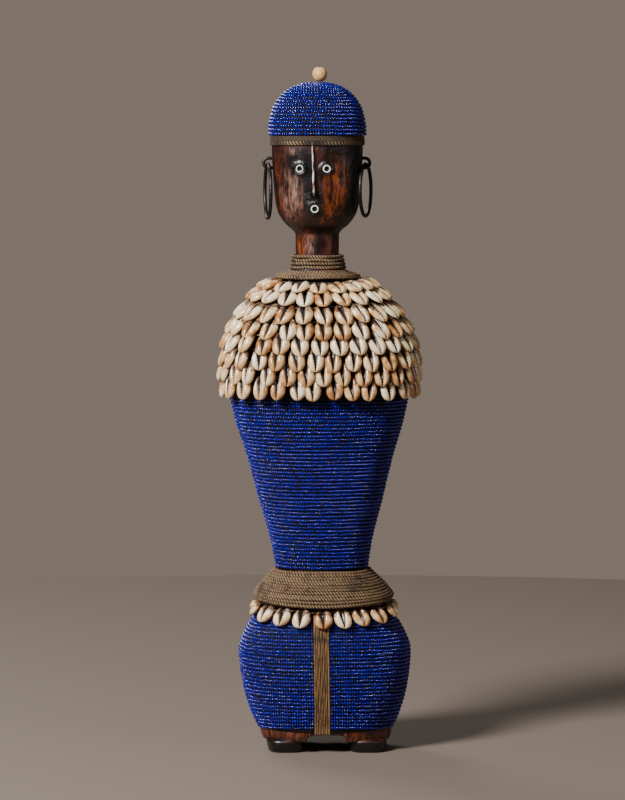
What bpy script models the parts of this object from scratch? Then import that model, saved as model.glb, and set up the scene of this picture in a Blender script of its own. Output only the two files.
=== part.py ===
# Beaded figure doll: a carved wooden figure dressed in glass beadwork, cowrie shells and twisted cord.
# Metres, +Z up, the face looks along -Y, and the origin is on the floor under the middle of the shoulders.
import math

import bmesh
import bpy
import numpy as np

MM = 0.001

# Fits
FIT_GAP = 0.3 * MM  # clearance wherever one piece lies on another
SINK = 4.0 * MM  # how far a carved limb or ridge runs into the body before they are joined
SIDES = 24  # facets round the body
WIRE_SIDES = 6

# Levels above the floor
FOOT_TOP = 9.8 * MM
ARCH_TOP = 14.0 * MM  # underside of the wood between the feet
HEM_LEVEL = 18.5 * MM  # lower edge of the leg beadwork at the front
SKIRT_RIM_LEVEL = 110.0 * MM
WAIST_LEVEL = 137.0 * MM
CHEST_LEVEL = 264.0 * MM  # upper edge of the torso beadwork, behind the lowest shells
SHOULDER_LEVEL = 290.0 * MM
NECK_FOOT_LEVEL = 353.0 * MM
COLLAR_TOP_LEVEL = 371.3 * MM
BARE_NECK = 14.7 * MM
CHIN_LEVEL = COLLAR_TOP_LEVEL + BARE_NECK
MOUTH_LEVEL = 405.4 * MM
EYE_LEVEL = 435.1 * MM
STAPLE_LEVEL = 439.2 * MM
BAND_LEVEL = 452.4 * MM
CAP_LEVEL = 459.5 * MM
CAP_TOP_LEVEL = 499.6 * MM

# Half widths (x) and half depths (y) of the dressed body
HIP_HALF_WIDTH = 64.9 * MM
HIP_HALF_DEPTH = 43.0 * MM
RIM_HALF_WIDTH = 53.2 * MM
RIM_HALF_DEPTH = 44.0 * MM
WAIST_HALF_WIDTH = 35.0 * MM
WAIST_HALF_DEPTH = 29.5 * MM
CHEST_HALF_WIDTH = 67.2 * MM
CHEST_HALF_DEPTH = 46.0 * MM
CHEST_SIDE_EASE = 0.6 * MM  # the shell cloth is this much wider than the beadwork it covers
CHEST_FRONT_EASE = 2.5 * MM
SHOULDER_HALF_WIDTH = CHEST_HALF_WIDTH + CHEST_SIDE_EASE
SHOULDER_HALF_DEPTH = CHEST_HALF_DEPTH + CHEST_FRONT_EASE
NECK_HALF_WIDTH = 16.2 * MM
NECK_HALF_DEPTH = 15.4 * MM
BRIM_HALF_WIDTH = 32.1 * MM
BRIM_HALF_DEPTH = 29.5 * MM
HEAD_HALF_WIDTH = 34.0 * MM
HEAD_HALF_DEPTH = 31.0 * MM

# Layers over the wood
BEAD_LAYER = 2.7 * MM
CLOTH_LAYER = 1.2 * MM
CORD_LAYER = 3.0 * MM
BAND_LAYER = 1.1 * MM
CAP_OVERHANG = 2.9 * MM  # the cap stands this far out from the wood of the head
HEM_DROP = 4.0 * MM  # the leg beadwork hangs this much lower at the sides
LEG_END_INSET = 4.6 * MM  # the bare leg ends draw in this far at the sides

# Feet and the strips between the legs
FOOT_HALF_WIDTH = 15.2 * MM
FOOT_HALF_LENGTH = 28.5 * MM
FOOT_SPREAD = 30.2 * MM  # middle of a foot from the middle of the doll
FOOT_FORWARD = 3.0 * MM
FOOT_TAPER = 0.94  # size of the sole against the top of the foot
STRIP_WIDTH = 10.9 * MM
STRIP_LEVEL = 14.6 * MM
STRIP_SHIFT = -2.4 * MM
STRIP_PROUD = 0.4 * MM

# Shells
SHELL_LENGTH = 17.5 * MM
SHELL_THICKNESS = 4.4 * MM
SHELL_GROOVE = 1.3 * MM
SHELL_SEAM = 1.2 * MM  # thickness where two neighbours touch
SHELL_ROOT_LIFT = 1.3 * MM  # the hidden end stands this far off the cloth
SHELL_TIP_LIFT = 8.2 * MM
FIRST_SHELL_DROP = 6.0 * MM  # no shell starts higher on the cloth than this
SKIRT_SHELLS = 20
SKIRT_SHELL_LENGTH = 15.0 * MM
SKIRT_TIP_LIFT = 3.0 * MM

# Face
FACE_TURN = 6.0  # degrees, towards the doll's right
FACE_SLANT = 1.3 * MM  # the face's middle line drifts this far to the doll's left, from headband to mouth
EYE_SPREAD = 9.8 * MM  # middle of an eye from the middle of the face
RING_BEAD_RADIUS = 2.95 * MM
RING_BEAD_HOLE = 1.5 * MM
RING_BEAD_DEPTH = 2.4 * MM
SOCKET_DEPTH = 1.5 * MM
NOSE_LENGTH = 37.0 * MM
NOSE_HALF_WIDTH = 3.0 * MM
NOSE_HEIGHT = 4.6 * MM
NOSE_TOP_HEIGHT = 1.6 * MM

# Earrings and the bead on the cap
STAPLE_RADIUS = 3.6 * MM
STAPLE_WIRE = 1.25 * MM
LEFT_STAPLE_OUT = 2.3 * MM  # middle of the loop from the side of the head
RIGHT_STAPLE_OUT = 3.2 * MM
STAPLE_LEG = 5.0 * MM  # length inside the wood
HOOP_WIRE = 1.35 * MM
LEFT_HOOP_RADIUS = 19.5 * MM
RIGHT_HOOP_RADIUS = 20.3 * MM
LEFT_HOOP_TURN = 13.0  # degrees from fore and aft
RIGHT_HOOP_TURN = -7.0
CAP_BEAD_RADIUS = 5.7 * MM
CAP_BEAD_SHIFT = 1.8 * MM  # it sits this far to the doll's left of the cap's middle
CAP_HOLE = 2.0 * MM
CAP_BEAD_FLAT = 0.92  # the bead is cut flat at this share of its radius, where its hole opens

# The doll stands a little crooked: how far its middle lies to its left at each level
SWAY_LINE = (
    (0.0, 5.4 * MM), (HEM_LEVEL, 4.4 * MM), (SKIRT_RIM_LEVEL, 3.2 * MM), (WAIST_LEVEL, 1.5 * MM),
    (CHEST_LEVEL, -0.5 * MM), (SHOULDER_LEVEL, 0.2 * MM), (NECK_FOOT_LEVEL, -1.2 * MM),
    (COLLAR_TOP_LEVEL, -1.9 * MM),
)  # fmt: skip

# Outlines as shares. Each row is the height within the stretch, then the half width and the half depth.
HIP_LINE = (
    (0.0, 0.786, 0.86), (0.12, 0.866, 0.92), (0.3, 0.946, 0.975), (0.5, 0.991, 1.0), (0.62, 1.0, 1.0),
    (0.79, 0.92, 0.95), (1.0, 0.72, 0.82),
)  # fmt: skip
TORSO_LINE = (
    (0.0, 0.0, 0.0), (0.15, 0.1, 0.12), (0.38, 0.342, 0.38), (0.66, 0.627, 0.65), (0.77, 0.765, 0.775),
    (0.874, 0.885, 0.89), (1.0, 1.0, 1.0),
)  # fmt: skip
SHOULDER_LINE = (
    (-0.45, 0.97, 0.955), (-0.2, 0.992, 0.985), (0.0, 1.0, 1.0), (0.16, 0.988, 0.994), (0.32, 0.94, 0.976),
    (0.49, 0.855, 0.94), (0.66, 0.742, 0.88), (0.8, 0.63, 0.805), (0.92, 0.5, 0.69), (1.0, 0.385, 0.5),
)  # fmt: skip
HEAD_LINE = (
    (0.0, 0.48, 0.51), (0.05, 0.54, 0.59), (0.1, 0.66, 0.73), (0.175, 0.785, 0.84), (0.245, 0.86, 0.905),
    (0.355, 0.918, 0.957), (0.5, 0.95, 0.98), (1.0, 1.0, 1.0),
)  # fmt: skip
SKIRT_LINE = ((0.0, 1.0), (0.12, 1.0), (0.25, 0.985), (0.44, 0.81), (0.64, 0.57), (0.82, 0.3), (1.0, 0.05))
COLLAR_LINE = ((0.0, 1.0), (0.16, 0.97), (0.31, 0.48), (0.36, 0.35), (0.6, 0.3), (1.0, 0.215))
# Each row of shells: where its tips lie between neck and hem, at the front and at the sides, and its count
SHELL_ROWS = (
    (0.202, 0.178, 19), (0.306, 0.283, 22), (0.438, 0.415, 24), (0.551, 0.53, 26),
    (0.655, 0.637, 27), (0.763, 0.748, 28), (0.864, 0.857, 28), (0.964, 0.964, 28),
)  # fmt: skip

BODY_POWER = 2.35  # 2 makes the body's outline an ellipse, and more makes it squarer
CAP_POWER = 2.4
ARCH_POWER = 4.0  # squareness of the hollow between the feet

COLOURS = {  # linear red, green and blue, then roughness and metallic
    "wood": ((0.045, 0.014, 0.007), 0.35, 0.0),
    "blue_beads": ((0.006, 0.008, 0.25), 0.2, 0.0),
    "shell": ((0.75, 0.6, 0.42), 0.35, 0.0),
    "cord": ((0.16, 0.1, 0.05), 0.85, 0.0),
    "cloth": ((0.015, 0.01, 0.007), 0.9, 0.0),
    "iron": ((0.03, 0.027, 0.024), 0.45, 1.0),
    "white_beads": ((0.8, 0.78, 0.7), 0.25, 0.0),
    "pale_wood": ((0.6, 0.35, 0.17), 0.5, 0.0),
}


def clear_scene():
    for obj in list(bpy.data.objects):
        bpy.data.objects.remove(obj)


def material(name):
    found = bpy.data.materials.get(name)
    if found:
        return found
    colour, roughness, metallic = COLOURS[name]
    made = bpy.data.materials.new(name)
    made.use_nodes = True
    shader = made.node_tree.nodes["Principled BSDF"]
    shader.inputs["Base Color"].default_value = (*colour, 1.0)
    shader.inputs["Roughness"].default_value = roughness
    shader.inputs["Metallic"].default_value = metallic
    return made


def sway(points):
    """Moves points sideways with their height, so that all pieces follow the doll's crooked middle line."""
    moved = np.array(points, float).reshape(-1, 3)
    levels, shifts = np.array(SWAY_LINE).T
    moved[:, 0] += np.interp(moved[:, 2], levels, shifts)
    return moved


def add_piece(name, points, faces, finish, smooth_angle=40.0):
    """Makes one closed mesh object from its points and faces, with its faces turned outwards."""
    mesh = bpy.data.meshes.new(name)
    mesh.from_pydata([tuple(p) for p in sway(points)], [], [tuple(int(i) for i in f) for f in faces])
    work = bmesh.new()
    work.from_mesh(mesh)
    bmesh.ops.remove_doubles(work, verts=work.verts, dist=0.01 * MM)
    bmesh.ops.recalc_face_normals(work, faces=work.faces)
    work.to_mesh(mesh)
    work.free()
    mesh.shade_smooth()
    mesh.set_sharp_from_angle(angle=math.radians(smooth_angle))
    obj = bpy.data.objects.new(name, mesh)
    bpy.context.scene.collection.objects.link(obj)
    mesh.materials.append(material(finish))
    return obj


def helper(name, points, faces):
    """A closed shape that is only used to cut or to add to another piece."""
    obj = add_piece(name, points, faces, "wood")
    obj.hide_render = True
    obj.display_type = "WIRE"
    return obj


def combine(obj, tool, operation):
    step = obj.modifiers.new(tool.name, "BOOLEAN")
    step.operation = operation
    step.solver = "EXACT"
    step.object = tool


def skin(levels, count, closed=False):
    """Faces of a grid of loops: capped at both ends, or closed round like a tyre. On the way back the faces
    start at another corner, so that an inner wall is split along the same lines as the piece inside it."""
    faces = []
    for i in range(levels if closed else levels - 1):
        low, high = i * count, (i + 1) % levels * count
        for j in range(count):
            k = (j + 1) % count
            face = (low + j, low + k, high + k, high + j)
            faces.append(face[1:] + face[:1] if closed and i >= levels // 2 else face)
    if not closed:
        faces.append(range(count))
        faces.append(range((levels - 1) * count, levels * count))
    return faces


def superellipse(half_width, half_depth, turns, power=BODY_POWER):
    """Points of a rounded oval. Turn 0 is +X and a quarter turn back is the front."""
    cos, sin = np.cos(turns), np.sin(turns)
    size = (np.abs(cos) ** power + np.abs(sin) ** power) ** (-1 / power)
    return np.stack([half_width * size * cos, half_depth * size * sin], axis=-1)


def ring(level, half_width, half_depth, power=BODY_POWER):
    flat = superellipse(half_width, half_depth, np.arange(SIDES) * 2 * math.pi / SIDES, power)
    return np.column_stack([flat, np.full(SIDES, level)])


def smooth_line(stations, at):
    """Values of a table at the heights asked for, along a smooth curve that never overshoots."""
    table = np.array(stations, float)
    x, y = table[:, 0], table[:, 1:]
    rise = np.diff(y, axis=0) / np.diff(x)[:, None]
    slope = np.zeros_like(y)
    same = rise[1:] * rise[:-1] > 0
    total = np.where(same, rise[1:] + rise[:-1], 1.0)
    slope[1:-1] = np.where(same, 2 * rise[1:] * rise[:-1] / total, 0.0)
    slope[0], slope[-1] = rise[0], rise[-1]
    at = np.clip(np.atleast_1d(at), x[0], x[-1])
    i = np.clip(np.searchsorted(x, at) - 1, 0, len(x) - 2)
    step = (x[i + 1] - x[i])[:, None]
    t = (at - x[i])[:, None] / step
    start = (2 * t**3 - 3 * t**2 + 1) * y[i] + (t**3 - 2 * t**2 + t) * step * slope[i]
    return start + (3 * t**2 - 2 * t**3) * y[i + 1] + (t**3 - t**2) * step * slope[i + 1]


def stretch(line, low, high, width, depth, least_width=0.0, least_depth=0.0):
    """A line of shares as real stations: level, half width and half depth."""
    least = np.array([low, least_width, least_depth])
    most = np.array([high, width, depth])
    return [tuple(least + np.array(shares) * (most - least)) for shares in line]


def inside(stations, layer):
    return [(z, w - layer, d - layer) for z, w, d in stations]


def hip_stations():
    """Outside of the leg beadwork, from its hem up to the skirt."""
    return stretch(HIP_LINE, HEM_LEVEL, SKIRT_RIM_LEVEL - FIT_GAP, HIP_HALF_WIDTH, HIP_HALF_DEPTH)


def skirt_stations():
    """Outside of the cord skirt, from its rim up to the waist."""
    line = [(t, share, share) for t, share in SKIRT_LINE]
    low, high = SKIRT_RIM_LEVEL, WAIST_LEVEL - FIT_GAP
    return stretch(line, low, high, RIM_HALF_WIDTH, RIM_HALF_DEPTH, WAIST_HALF_WIDTH, WAIST_HALF_DEPTH)


def torso_stations():
    """Outside of the torso beadwork, from the waist up to the lowest shells."""
    least = (WAIST_HALF_WIDTH, WAIST_HALF_DEPTH)
    return stretch(TORSO_LINE, WAIST_LEVEL, CHEST_LEVEL, CHEST_HALF_WIDTH, CHEST_HALF_DEPTH, *least)


def shoulder_stations():
    """Outside of the cloth that carries the shells. It starts below the hem, where the lowest tips hang."""
    return stretch(SHOULDER_LINE, SHOULDER_LEVEL, NECK_FOOT_LEVEL, SHOULDER_HALF_WIDTH, SHOULDER_HALF_DEPTH)


def cloth_stations(steps=7):
    levels = np.linspace(CHEST_LEVEL + FIT_GAP, NECK_FOOT_LEVEL, steps)
    return list(np.column_stack([levels, smooth_line(shoulder_stations(), levels)]))


def collar_stations():
    """Outside of the neck cord, from its brim up the neck."""
    line = [(t, share, share) for t, share in COLLAR_LINE]
    low = NECK_FOOT_LEVEL + FIT_GAP
    return stretch(
        line, low, COLLAR_TOP_LEVEL, BRIM_HALF_WIDTH, BRIM_HALF_DEPTH, NECK_HALF_WIDTH, NECK_HALF_DEPTH
    )


def head_stations():
    return stretch(HEAD_LINE, CHIN_LEVEL, BAND_LEVEL, HEAD_HALF_WIDTH, HEAD_HALF_DEPTH)


def cap_stations(layer=0.0, steps=6):
    """The cap's dome up to its pole, or a dome that lies inside it by a layer."""
    found = []
    for turn in np.linspace(0, math.pi / 2, steps):
        rise = math.sin(turn)
        out = max(1 - rise**CAP_POWER, 0.0) ** (1 / CAP_POWER)
        reach = CAP_OVERHANG - layer
        level = CAP_LEVEL + rise * (CAP_TOP_LEVEL - CAP_LEVEL - layer)
        found.append((level, (HEAD_HALF_WIDTH + reach) * out, (HEAD_HALF_DEPTH + reach) * out))
    return found


def sleeve(name, stations, layer, finish):
    """A layer of even thickness round the body: up its outside and down its inside."""
    loops = [ring(*row) for row in stations] + [ring(*row) for row in reversed(inside(stations, layer))]
    return add_piece(name, loops, skin(len(loops), SIDES, closed=True), finish)


def figure_stations():
    """The wood under and between everything that it wears, from the leg ends to the crown."""
    under_beads = BEAD_LAYER + FIT_GAP
    hem = inside(hip_stations()[:1], under_beads)[0]
    bare_half_width = hip_stations()[0][1] - LEG_END_INSET
    line = [(FOOT_TOP, bare_half_width, hem[2]), (HEM_LEVEL - HEM_DROP, *hem[1:])]
    line += inside(hip_stations(), under_beads)
    line += inside(skirt_stations(), CORD_LAYER + FIT_GAP)
    line += inside(torso_stations(), under_beads)
    line += inside(cloth_stations(), CLOTH_LAYER + FIT_GAP)
    line += [(NECK_FOOT_LEVEL, NECK_HALF_WIDTH, NECK_HALF_DEPTH)]
    line += [(COLLAR_TOP_LEVEL, NECK_HALF_WIDTH, NECK_HALF_DEPTH)]
    line += head_stations()
    line += cap_stations(BEAD_LAYER + FIT_GAP)[:-1]
    return line


def foot(name, side):
    """One foot: a short oval block, drawn in at the sole, that runs up into the leg."""
    loops = []
    for level, share in ((0.0, FOOT_TAPER), (FOOT_TOP, 1.0), (FOOT_TOP + SINK, 0.9)):
        loop = ring(level, FOOT_HALF_WIDTH * share, FOOT_HALF_LENGTH * share, 3.2)
        loops.append(loop + (side * FOOT_SPREAD, -FOOT_FORWARD, 0.0))
    return helper(name, loops, skin(len(loops), SIDES))


def arch():
    """The hollow between the feet, cut from front to back."""
    half_width = FOOT_SPREAD - FOOT_HALF_WIDTH - FIT_GAP
    turns = np.linspace(0, math.pi, 9)
    curve = superellipse(half_width, ARCH_TOP - FOOT_TOP, turns, ARCH_POWER) + (0.0, FOOT_TOP)
    curve = np.vstack([curve, [(-half_width, FOOT_TOP - FIT_GAP), (half_width, FOOT_TOP - FIT_GAP)]])
    reach = 2 * HIP_HALF_DEPTH
    loops = [np.column_stack([curve[:, 0], np.full(len(curve), y), curve[:, 1]]) for y in (-reach, reach)]
    return helper("arch", loops, skin(2, len(curve)))


def face_point(level, across):
    """A point of the face and the direction that it faces. Across is measured from the face's middle line."""
    half_width, half_depth = smooth_line(head_stations(), level)[0]
    across += FACE_SLANT * (BAND_LEVEL - level) / (BAND_LEVEL - MOUTH_LEVEL)
    turn = math.asin(across / half_width) - math.pi / 2 - math.radians(FACE_TURN)
    here, near = superellipse(half_width, half_depth, np.array([turn, turn + 0.01]))
    along = (near - here) / np.linalg.norm(near - here)
    return np.array([*here, level]), np.array([along[1], -along[0], 0.0])


def turned(profile, base, axis, sides=10):
    """Loops turned round an axis, from rows of radius and distance along the axis."""
    axis = np.array(axis, float) / np.linalg.norm(axis)
    first = np.cross(axis, (0.0, 0.0, 1.0) if abs(axis[2]) < 0.9 else (1.0, 0.0, 0.0))
    first /= np.linalg.norm(first)
    second = np.cross(axis, first)
    turns = np.arange(sides) * 2 * math.pi / sides
    circle = np.outer(np.cos(turns), first) + np.outer(np.sin(turns), second)
    return [base + radius * circle + along * axis for radius, along in profile]


def nose():
    """A thin straight ridge from the headband down to a small tip. It widens and stands out as it falls."""
    loops = []
    shares = ((0.0, 0.45, 0.0), (0.35, 0.55, 0.3), (0.75, 0.75, 0.75), (0.93, 1.0, 1.0), (1.0, 1.05, 0.35))
    for down, width, height in shares:
        base, facing = face_point(BAND_LEVEL - FIT_GAP - NOSE_LENGTH * down, 0.0)
        side = np.array([-facing[1], facing[0], 0.0]) * NOSE_HALF_WIDTH * width
        stand = facing * (NOSE_TOP_HEIGHT + (NOSE_HEIGHT - NOSE_TOP_HEIGHT) * height)
        root, crest = base - facing * SINK / 2, base + stand
        loops.append(np.array([root - side, root + side, crest + side * 0.35, crest - side * 0.35]))
    return helper("nose", loops, skin(len(loops), 4))


def ring_bead(name, level, across):
    """A flat glass bead with a hole. Returns the socket in the wood that it sits in."""
    base, facing = face_point(level, across)
    half = RING_BEAD_DEPTH / 2
    middle = (RING_BEAD_RADIUS + RING_BEAD_HOLE) / 2
    profile = [(RING_BEAD_HOLE, 0.0), (RING_BEAD_RADIUS, 0.0), (RING_BEAD_RADIUS, half)]
    profile += [(middle, 2 * half), (RING_BEAD_HOLE, half * 1.5)]
    loops = turned(profile, base - facing * (SOCKET_DEPTH - FIT_GAP), facing)
    add_piece(name, loops, skin(len(loops), 10, closed=True), "white_beads")
    reach = RING_BEAD_RADIUS + FIT_GAP
    loops = turned([(reach, -SOCKET_DEPTH), (reach, SOCKET_DEPTH * 2)], base, facing)
    return helper(name + "_socket", loops, skin(2, 10))


def tube(path, radius, closed=False):
    """Loops of a round wire along a path that lies in one plane."""
    path = np.array(path, float)
    along = np.roll(path, -1, axis=0) - np.roll(path, 1, axis=0)
    if not closed:
        along[0], along[-1] = path[1] - path[0], path[-1] - path[-2]
    along /= np.linalg.norm(along, axis=1)[:, None]
    middle = path.mean(axis=0)
    plane = np.cross(path[0] - middle, path[len(path) // 3] - middle)
    plane /= np.linalg.norm(plane)
    out = np.cross(along, plane)
    turns = np.arange(WIRE_SIDES) * 2 * math.pi / WIRE_SIDES
    across, outwards = np.outer(np.cos(turns), plane), np.sin(turns)[:, None]
    return [point + radius * (across + outwards * way) for point, way in zip(path, out)]


def earring(side_name):
    """An iron staple in the side of the head, and the hoop that hangs in it. Returns the staple's holes."""
    if side_name == "left":
        side, out, radius, degrees = 1, LEFT_STAPLE_OUT, LEFT_HOOP_RADIUS, LEFT_HOOP_TURN
    else:
        side, out, radius, degrees = -1, RIGHT_STAPLE_OUT, RIGHT_HOOP_RADIUS, RIGHT_HOOP_TURN
    wood = side * smooth_line(head_stations(), STAPLE_LEVEL)[0][0]
    middle = np.array([wood + side * out, 0.0, STAPLE_LEVEL])
    turns = np.linspace(math.pi / 2, -math.pi / 2, 9)
    arc = [middle + STAPLE_RADIUS * np.array([side * math.cos(t), 0.0, math.sin(t)]) for t in turns]
    ends = [np.array([wood - side * STAPLE_LEG, 0.0, STAPLE_LEVEL + up * STAPLE_RADIUS]) for up in (1, -1)]
    loops = tube([ends[0], *arc, ends[1]], STAPLE_WIRE)
    add_piece(f"{side_name}_ear_staple", loops, skin(len(loops), WIRE_SIDES), "iron")

    heading = np.array([math.sin(math.radians(degrees)), math.cos(math.radians(degrees)), 0.0])
    top = STAPLE_LEVEL - STAPLE_RADIUS + STAPLE_WIRE + HOOP_WIRE + FIT_GAP
    centre = np.array([wood + side * (out + FIT_GAP), 0.0, top - radius])
    turns = np.arange(20) * 2 * math.pi / 20
    path = centre + radius * (np.outer(np.cos(turns), heading) + np.outer(np.sin(turns), (0.0, 0.0, 1.0)))
    loops = tube(path, HOOP_WIRE, closed=True)
    add_piece(f"{side_name}_hoop_earring", loops, skin(len(loops), WIRE_SIDES, closed=True), "iron")

    holes = []
    for up, end in zip(("upper", "lower"), ends):
        profile = [(STAPLE_WIRE + FIT_GAP, -FIT_GAP), (STAPLE_WIRE + FIT_GAP, 2 * STAPLE_LEG)]
        loops = turned(profile, end, (side, 0.0, 0.0), WIRE_SIDES)
        holes.append(helper(f"{side_name}_{up}_hole", loops, skin(2, WIRE_SIDES)))
    return holes


def carved_figure(cutters):
    loops = [ring(*row) for row in figure_stations()]
    figure = add_piece("carved_figure", loops, skin(len(loops), SIDES), "wood")
    for tool in (foot("right_foot", -1), foot("left_foot", 1), nose()):
        combine(figure, tool, "UNION")
    for tool in (arch(), *cutters):
        combine(figure, tool, "DIFFERENCE")


def leg_beadwork(side_name):
    """Half of the beadwork round the legs, between the front strip and the back strip."""
    side = 1 if side_name == "left" else -1
    edge = STRIP_WIDTH / 2 + FIT_GAP + side * STRIP_SHIFT
    count = SIDES // 2 + 1
    loops = []
    for step, (level, half_width, half_depth) in enumerate(hip_stations()):
        walls = []
        for layer in (0.0, BEAD_LAYER):
            width, depth = half_width - layer, half_depth - layer
            first = math.asin(edge / width) - math.pi / 2
            turns = np.arange(count) * 2 * math.pi / SIDES - math.pi / 2
            turns[[0, -1]] = first, -first
            flat = superellipse(width, depth, turns)
            flat[[0, -1], 0] = edge
            walls.append(np.column_stack([side * flat[:, 0], flat[:, 1], np.full(count, level)]))
        loop = np.vstack([walls[0], walls[1][::-1]])
        if step == 0:
            loop[:, 2] -= HEM_DROP * np.square(loop[:, 0] / half_width)
        loops.append(loop)
    add_piece(f"{side_name}_leg_beadwork", loops, skin(len(loops), 2 * count), "blue_beads")


def strip(name, side):
    """The plaited strip that covers the seam between the legs, in front or behind."""
    hem = hip_stations()[0]
    rows = [(STRIP_LEVEL, *hem[1:]), *hip_stations()]
    loops = []
    for level, half_width, half_depth in rows:
        across = STRIP_SHIFT + np.array([-0.5, 0.5, 0.5, -0.5]) * STRIP_WIDTH
        depth = np.array([-BEAD_LAYER, -BEAD_LAYER, STRIP_PROUD, STRIP_PROUD]) + half_depth
        loops.append(np.column_stack([across, side * depth, np.full(4, level)]))
    add_piece(name, loops, skin(len(loops), 4), "cord")


def neck_cord():
    """Cord wound round the neck, above a brim that lies on the first shells."""
    hole = (NECK_HALF_WIDTH + FIT_GAP, NECK_HALF_DEPTH + FIT_GAP)
    stations = collar_stations() + [(COLLAR_TOP_LEVEL, *hole), (NECK_FOOT_LEVEL + FIT_GAP, *hole)]
    loops = [ring(*row) for row in stations]
    add_piece("neck_cord", loops, skin(len(loops), SIDES, closed=True), "cord")


def headband():
    reach = FIT_GAP + BAND_LAYER
    edges = (BAND_LEVEL, CAP_LEVEL - FIT_GAP)
    stations = [(level, HEAD_HALF_WIDTH + reach, HEAD_HALF_DEPTH + reach) for level in edges]
    sleeve("headband", stations, BAND_LAYER, "cord")


def beaded_cap():
    """A dome of beadwork with a thread hole at its pole, under the bead."""
    outer = cap_stations()[:-1] + [(CAP_TOP_LEVEL, CAP_HOLE, CAP_HOLE)]
    inner = cap_stations(BEAD_LAYER)[:-1] + [(CAP_TOP_LEVEL - BEAD_LAYER, CAP_HOLE, CAP_HOLE)]
    loops = [ring(*row) for row in outer + inner[::-1]]
    add_piece("beaded_cap", loops, skin(len(loops), SIDES, closed=True), "blue_beads")


def cap_bead():
    turns = np.linspace(-math.asin(CAP_BEAD_FLAT), math.asin(CAP_BEAD_FLAT), 6)
    base = (CAP_BEAD_SHIFT, 0.0, CAP_TOP_LEVEL + FIT_GAP + CAP_BEAD_FLAT * CAP_BEAD_RADIUS)
    profile = [(CAP_BEAD_RADIUS * math.cos(t), CAP_BEAD_RADIUS * math.sin(t)) for t in turns]
    loops = turned(profile, base, (0.0, 0.0, 1.0), 12)
    add_piece("cap_bead", loops, skin(len(loops), 12), "pale_wood")


class FallLine:
    """The way down a surface of ovals, measured along it from its top."""

    def __init__(self, stations):
        self.levels = np.linspace(stations[-1][0], stations[0][0], 81)
        self.sizes = smooth_line(stations, self.levels)
        steps = np.diff(self.levels) ** 2 + np.mean(np.diff(self.sizes, axis=0) ** 2, axis=1)
        self.run = np.concatenate([[0.0], np.cumsum(np.sqrt(steps))])
        self.length = self.run[-1]

    def oval(self, down):
        return [np.interp(down, self.run, self.sizes[:, i]) for i in (0, 1)]

    def point(self, turn, down):
        return np.column_stack([superellipse(*self.oval(down), turn), np.interp(down, self.run, self.levels)])

    def outwards(self, turn, down, nudge=0.5 * MM, turn_nudge=0.01):
        downwards = self.point(turn, down + nudge) - self.point(turn, down - nudge)
        sideways = self.point(turn + turn_nudge, down) - self.point(turn - turn_nudge, down)
        normal = np.cross(sideways, downwards)
        return -normal / np.linalg.norm(normal, axis=1)[:, None]


def even_turns(half_width, half_depth, count, phase):
    """Turns that divide an oval into equal lengths, with the first turn given again at the end."""
    fine = np.linspace(0, 4 * math.pi, 1441)
    steps = np.linalg.norm(np.diff(superellipse(half_width, half_depth, fine), axis=0), axis=1)
    run = np.concatenate([[0.0], np.cumsum(steps)])
    return np.interp((np.arange(count + 1) + phase) / count * run[-1] / 2, run, fine)


def shell_band(name, fall, count, phase, tips, length, root, tip_lift):
    """One row of shells sewn side by side, each a grooved oval lobe, fixed at its top and lifted at its tip.
    Tips says how far down the surface the tips are, in front and at the sides."""
    edges = even_turns(*fall.oval(max(tips[1] - length * 0.4, 0.0)), count, phase)

    def place(between, share, thickness):
        """Points of all shells: between their edges, down their length, and out from their underside."""
        turn = edges[:-1] + between * np.diff(edges)
        tip = tips[1] + (tips[0] - tips[1]) * np.abs(np.sin(turn))
        down = np.maximum(tip - length, root) * (1 - share) + tip * share
        lift = SHELL_ROOT_LIFT + (tip_lift - SHELL_ROOT_LIFT) * share + thickness
        return fall.point(turn, down) + fall.outwards(turn, down) * lift

    groups = [
        place(0.0, 0.0, SHELL_SEAM), place(0.0, 0.0, 0.0),
        place(0.0, 0.62, SHELL_SEAM), place(0.0, 0.62, 0.0),
        place(0.5, 0.4, SHELL_THICKNESS), place(0.27, 0.62, SHELL_THICKNESS * 0.95),
        place(0.73, 0.62, SHELL_THICKNESS * 0.95), place(0.5, 0.68, SHELL_THICKNESS - SHELL_GROOVE),
        place(0.32, 1.0, 0.0), place(0.68, 1.0, 0.0),
    ]  # fmt: skip
    top_out, top_in, seam_out, seam_in, crown, left, right, groove, tip_left, tip_right = (
        np.arange(count) + i * count for i in range(len(groups))
    )
    next_top_out, next_top_in = np.roll(top_out, -1), np.roll(top_in, -1)
    next_seam_out, next_seam_in = np.roll(seam_out, -1), np.roll(seam_in, -1)
    patches = (
        (top_out, next_top_out, crown), (top_out, crown, left), (next_top_out, right, crown),
        (top_out, left, seam_out), (next_top_out, next_seam_out, right), (crown, groove, left),
        (crown, right, groove), (left, groove, tip_left), (groove, right, tip_right),
        (groove, tip_right, tip_left), (seam_out, left, tip_left), (right, next_seam_out, tip_right),
        (seam_out, tip_left, seam_in), (next_seam_out, next_seam_in, tip_right),
        (seam_in, tip_left, tip_right, next_seam_in), (top_in, seam_in, next_seam_in, next_top_in),
        (top_out, top_in, next_top_in, next_top_out),
    )  # fmt: skip
    faces = [face for patch in patches for face in np.column_stack(patch)]
    add_piece(name, np.vstack(groups), faces, "shell", smooth_angle=50.0)


def mantle_shells():
    fall = FallLine(shoulder_stations())
    for number, (front, side, count) in enumerate(SHELL_ROWS, 1):
        tips = (front * fall.length, side * fall.length)
        phase = 0.5 * (number % 2)
        name = f"cowrie_row_{number}"
        shell_band(name, fall, count, phase, tips, SHELL_LENGTH, FIRST_SHELL_DROP, SHELL_TIP_LIFT)


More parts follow.
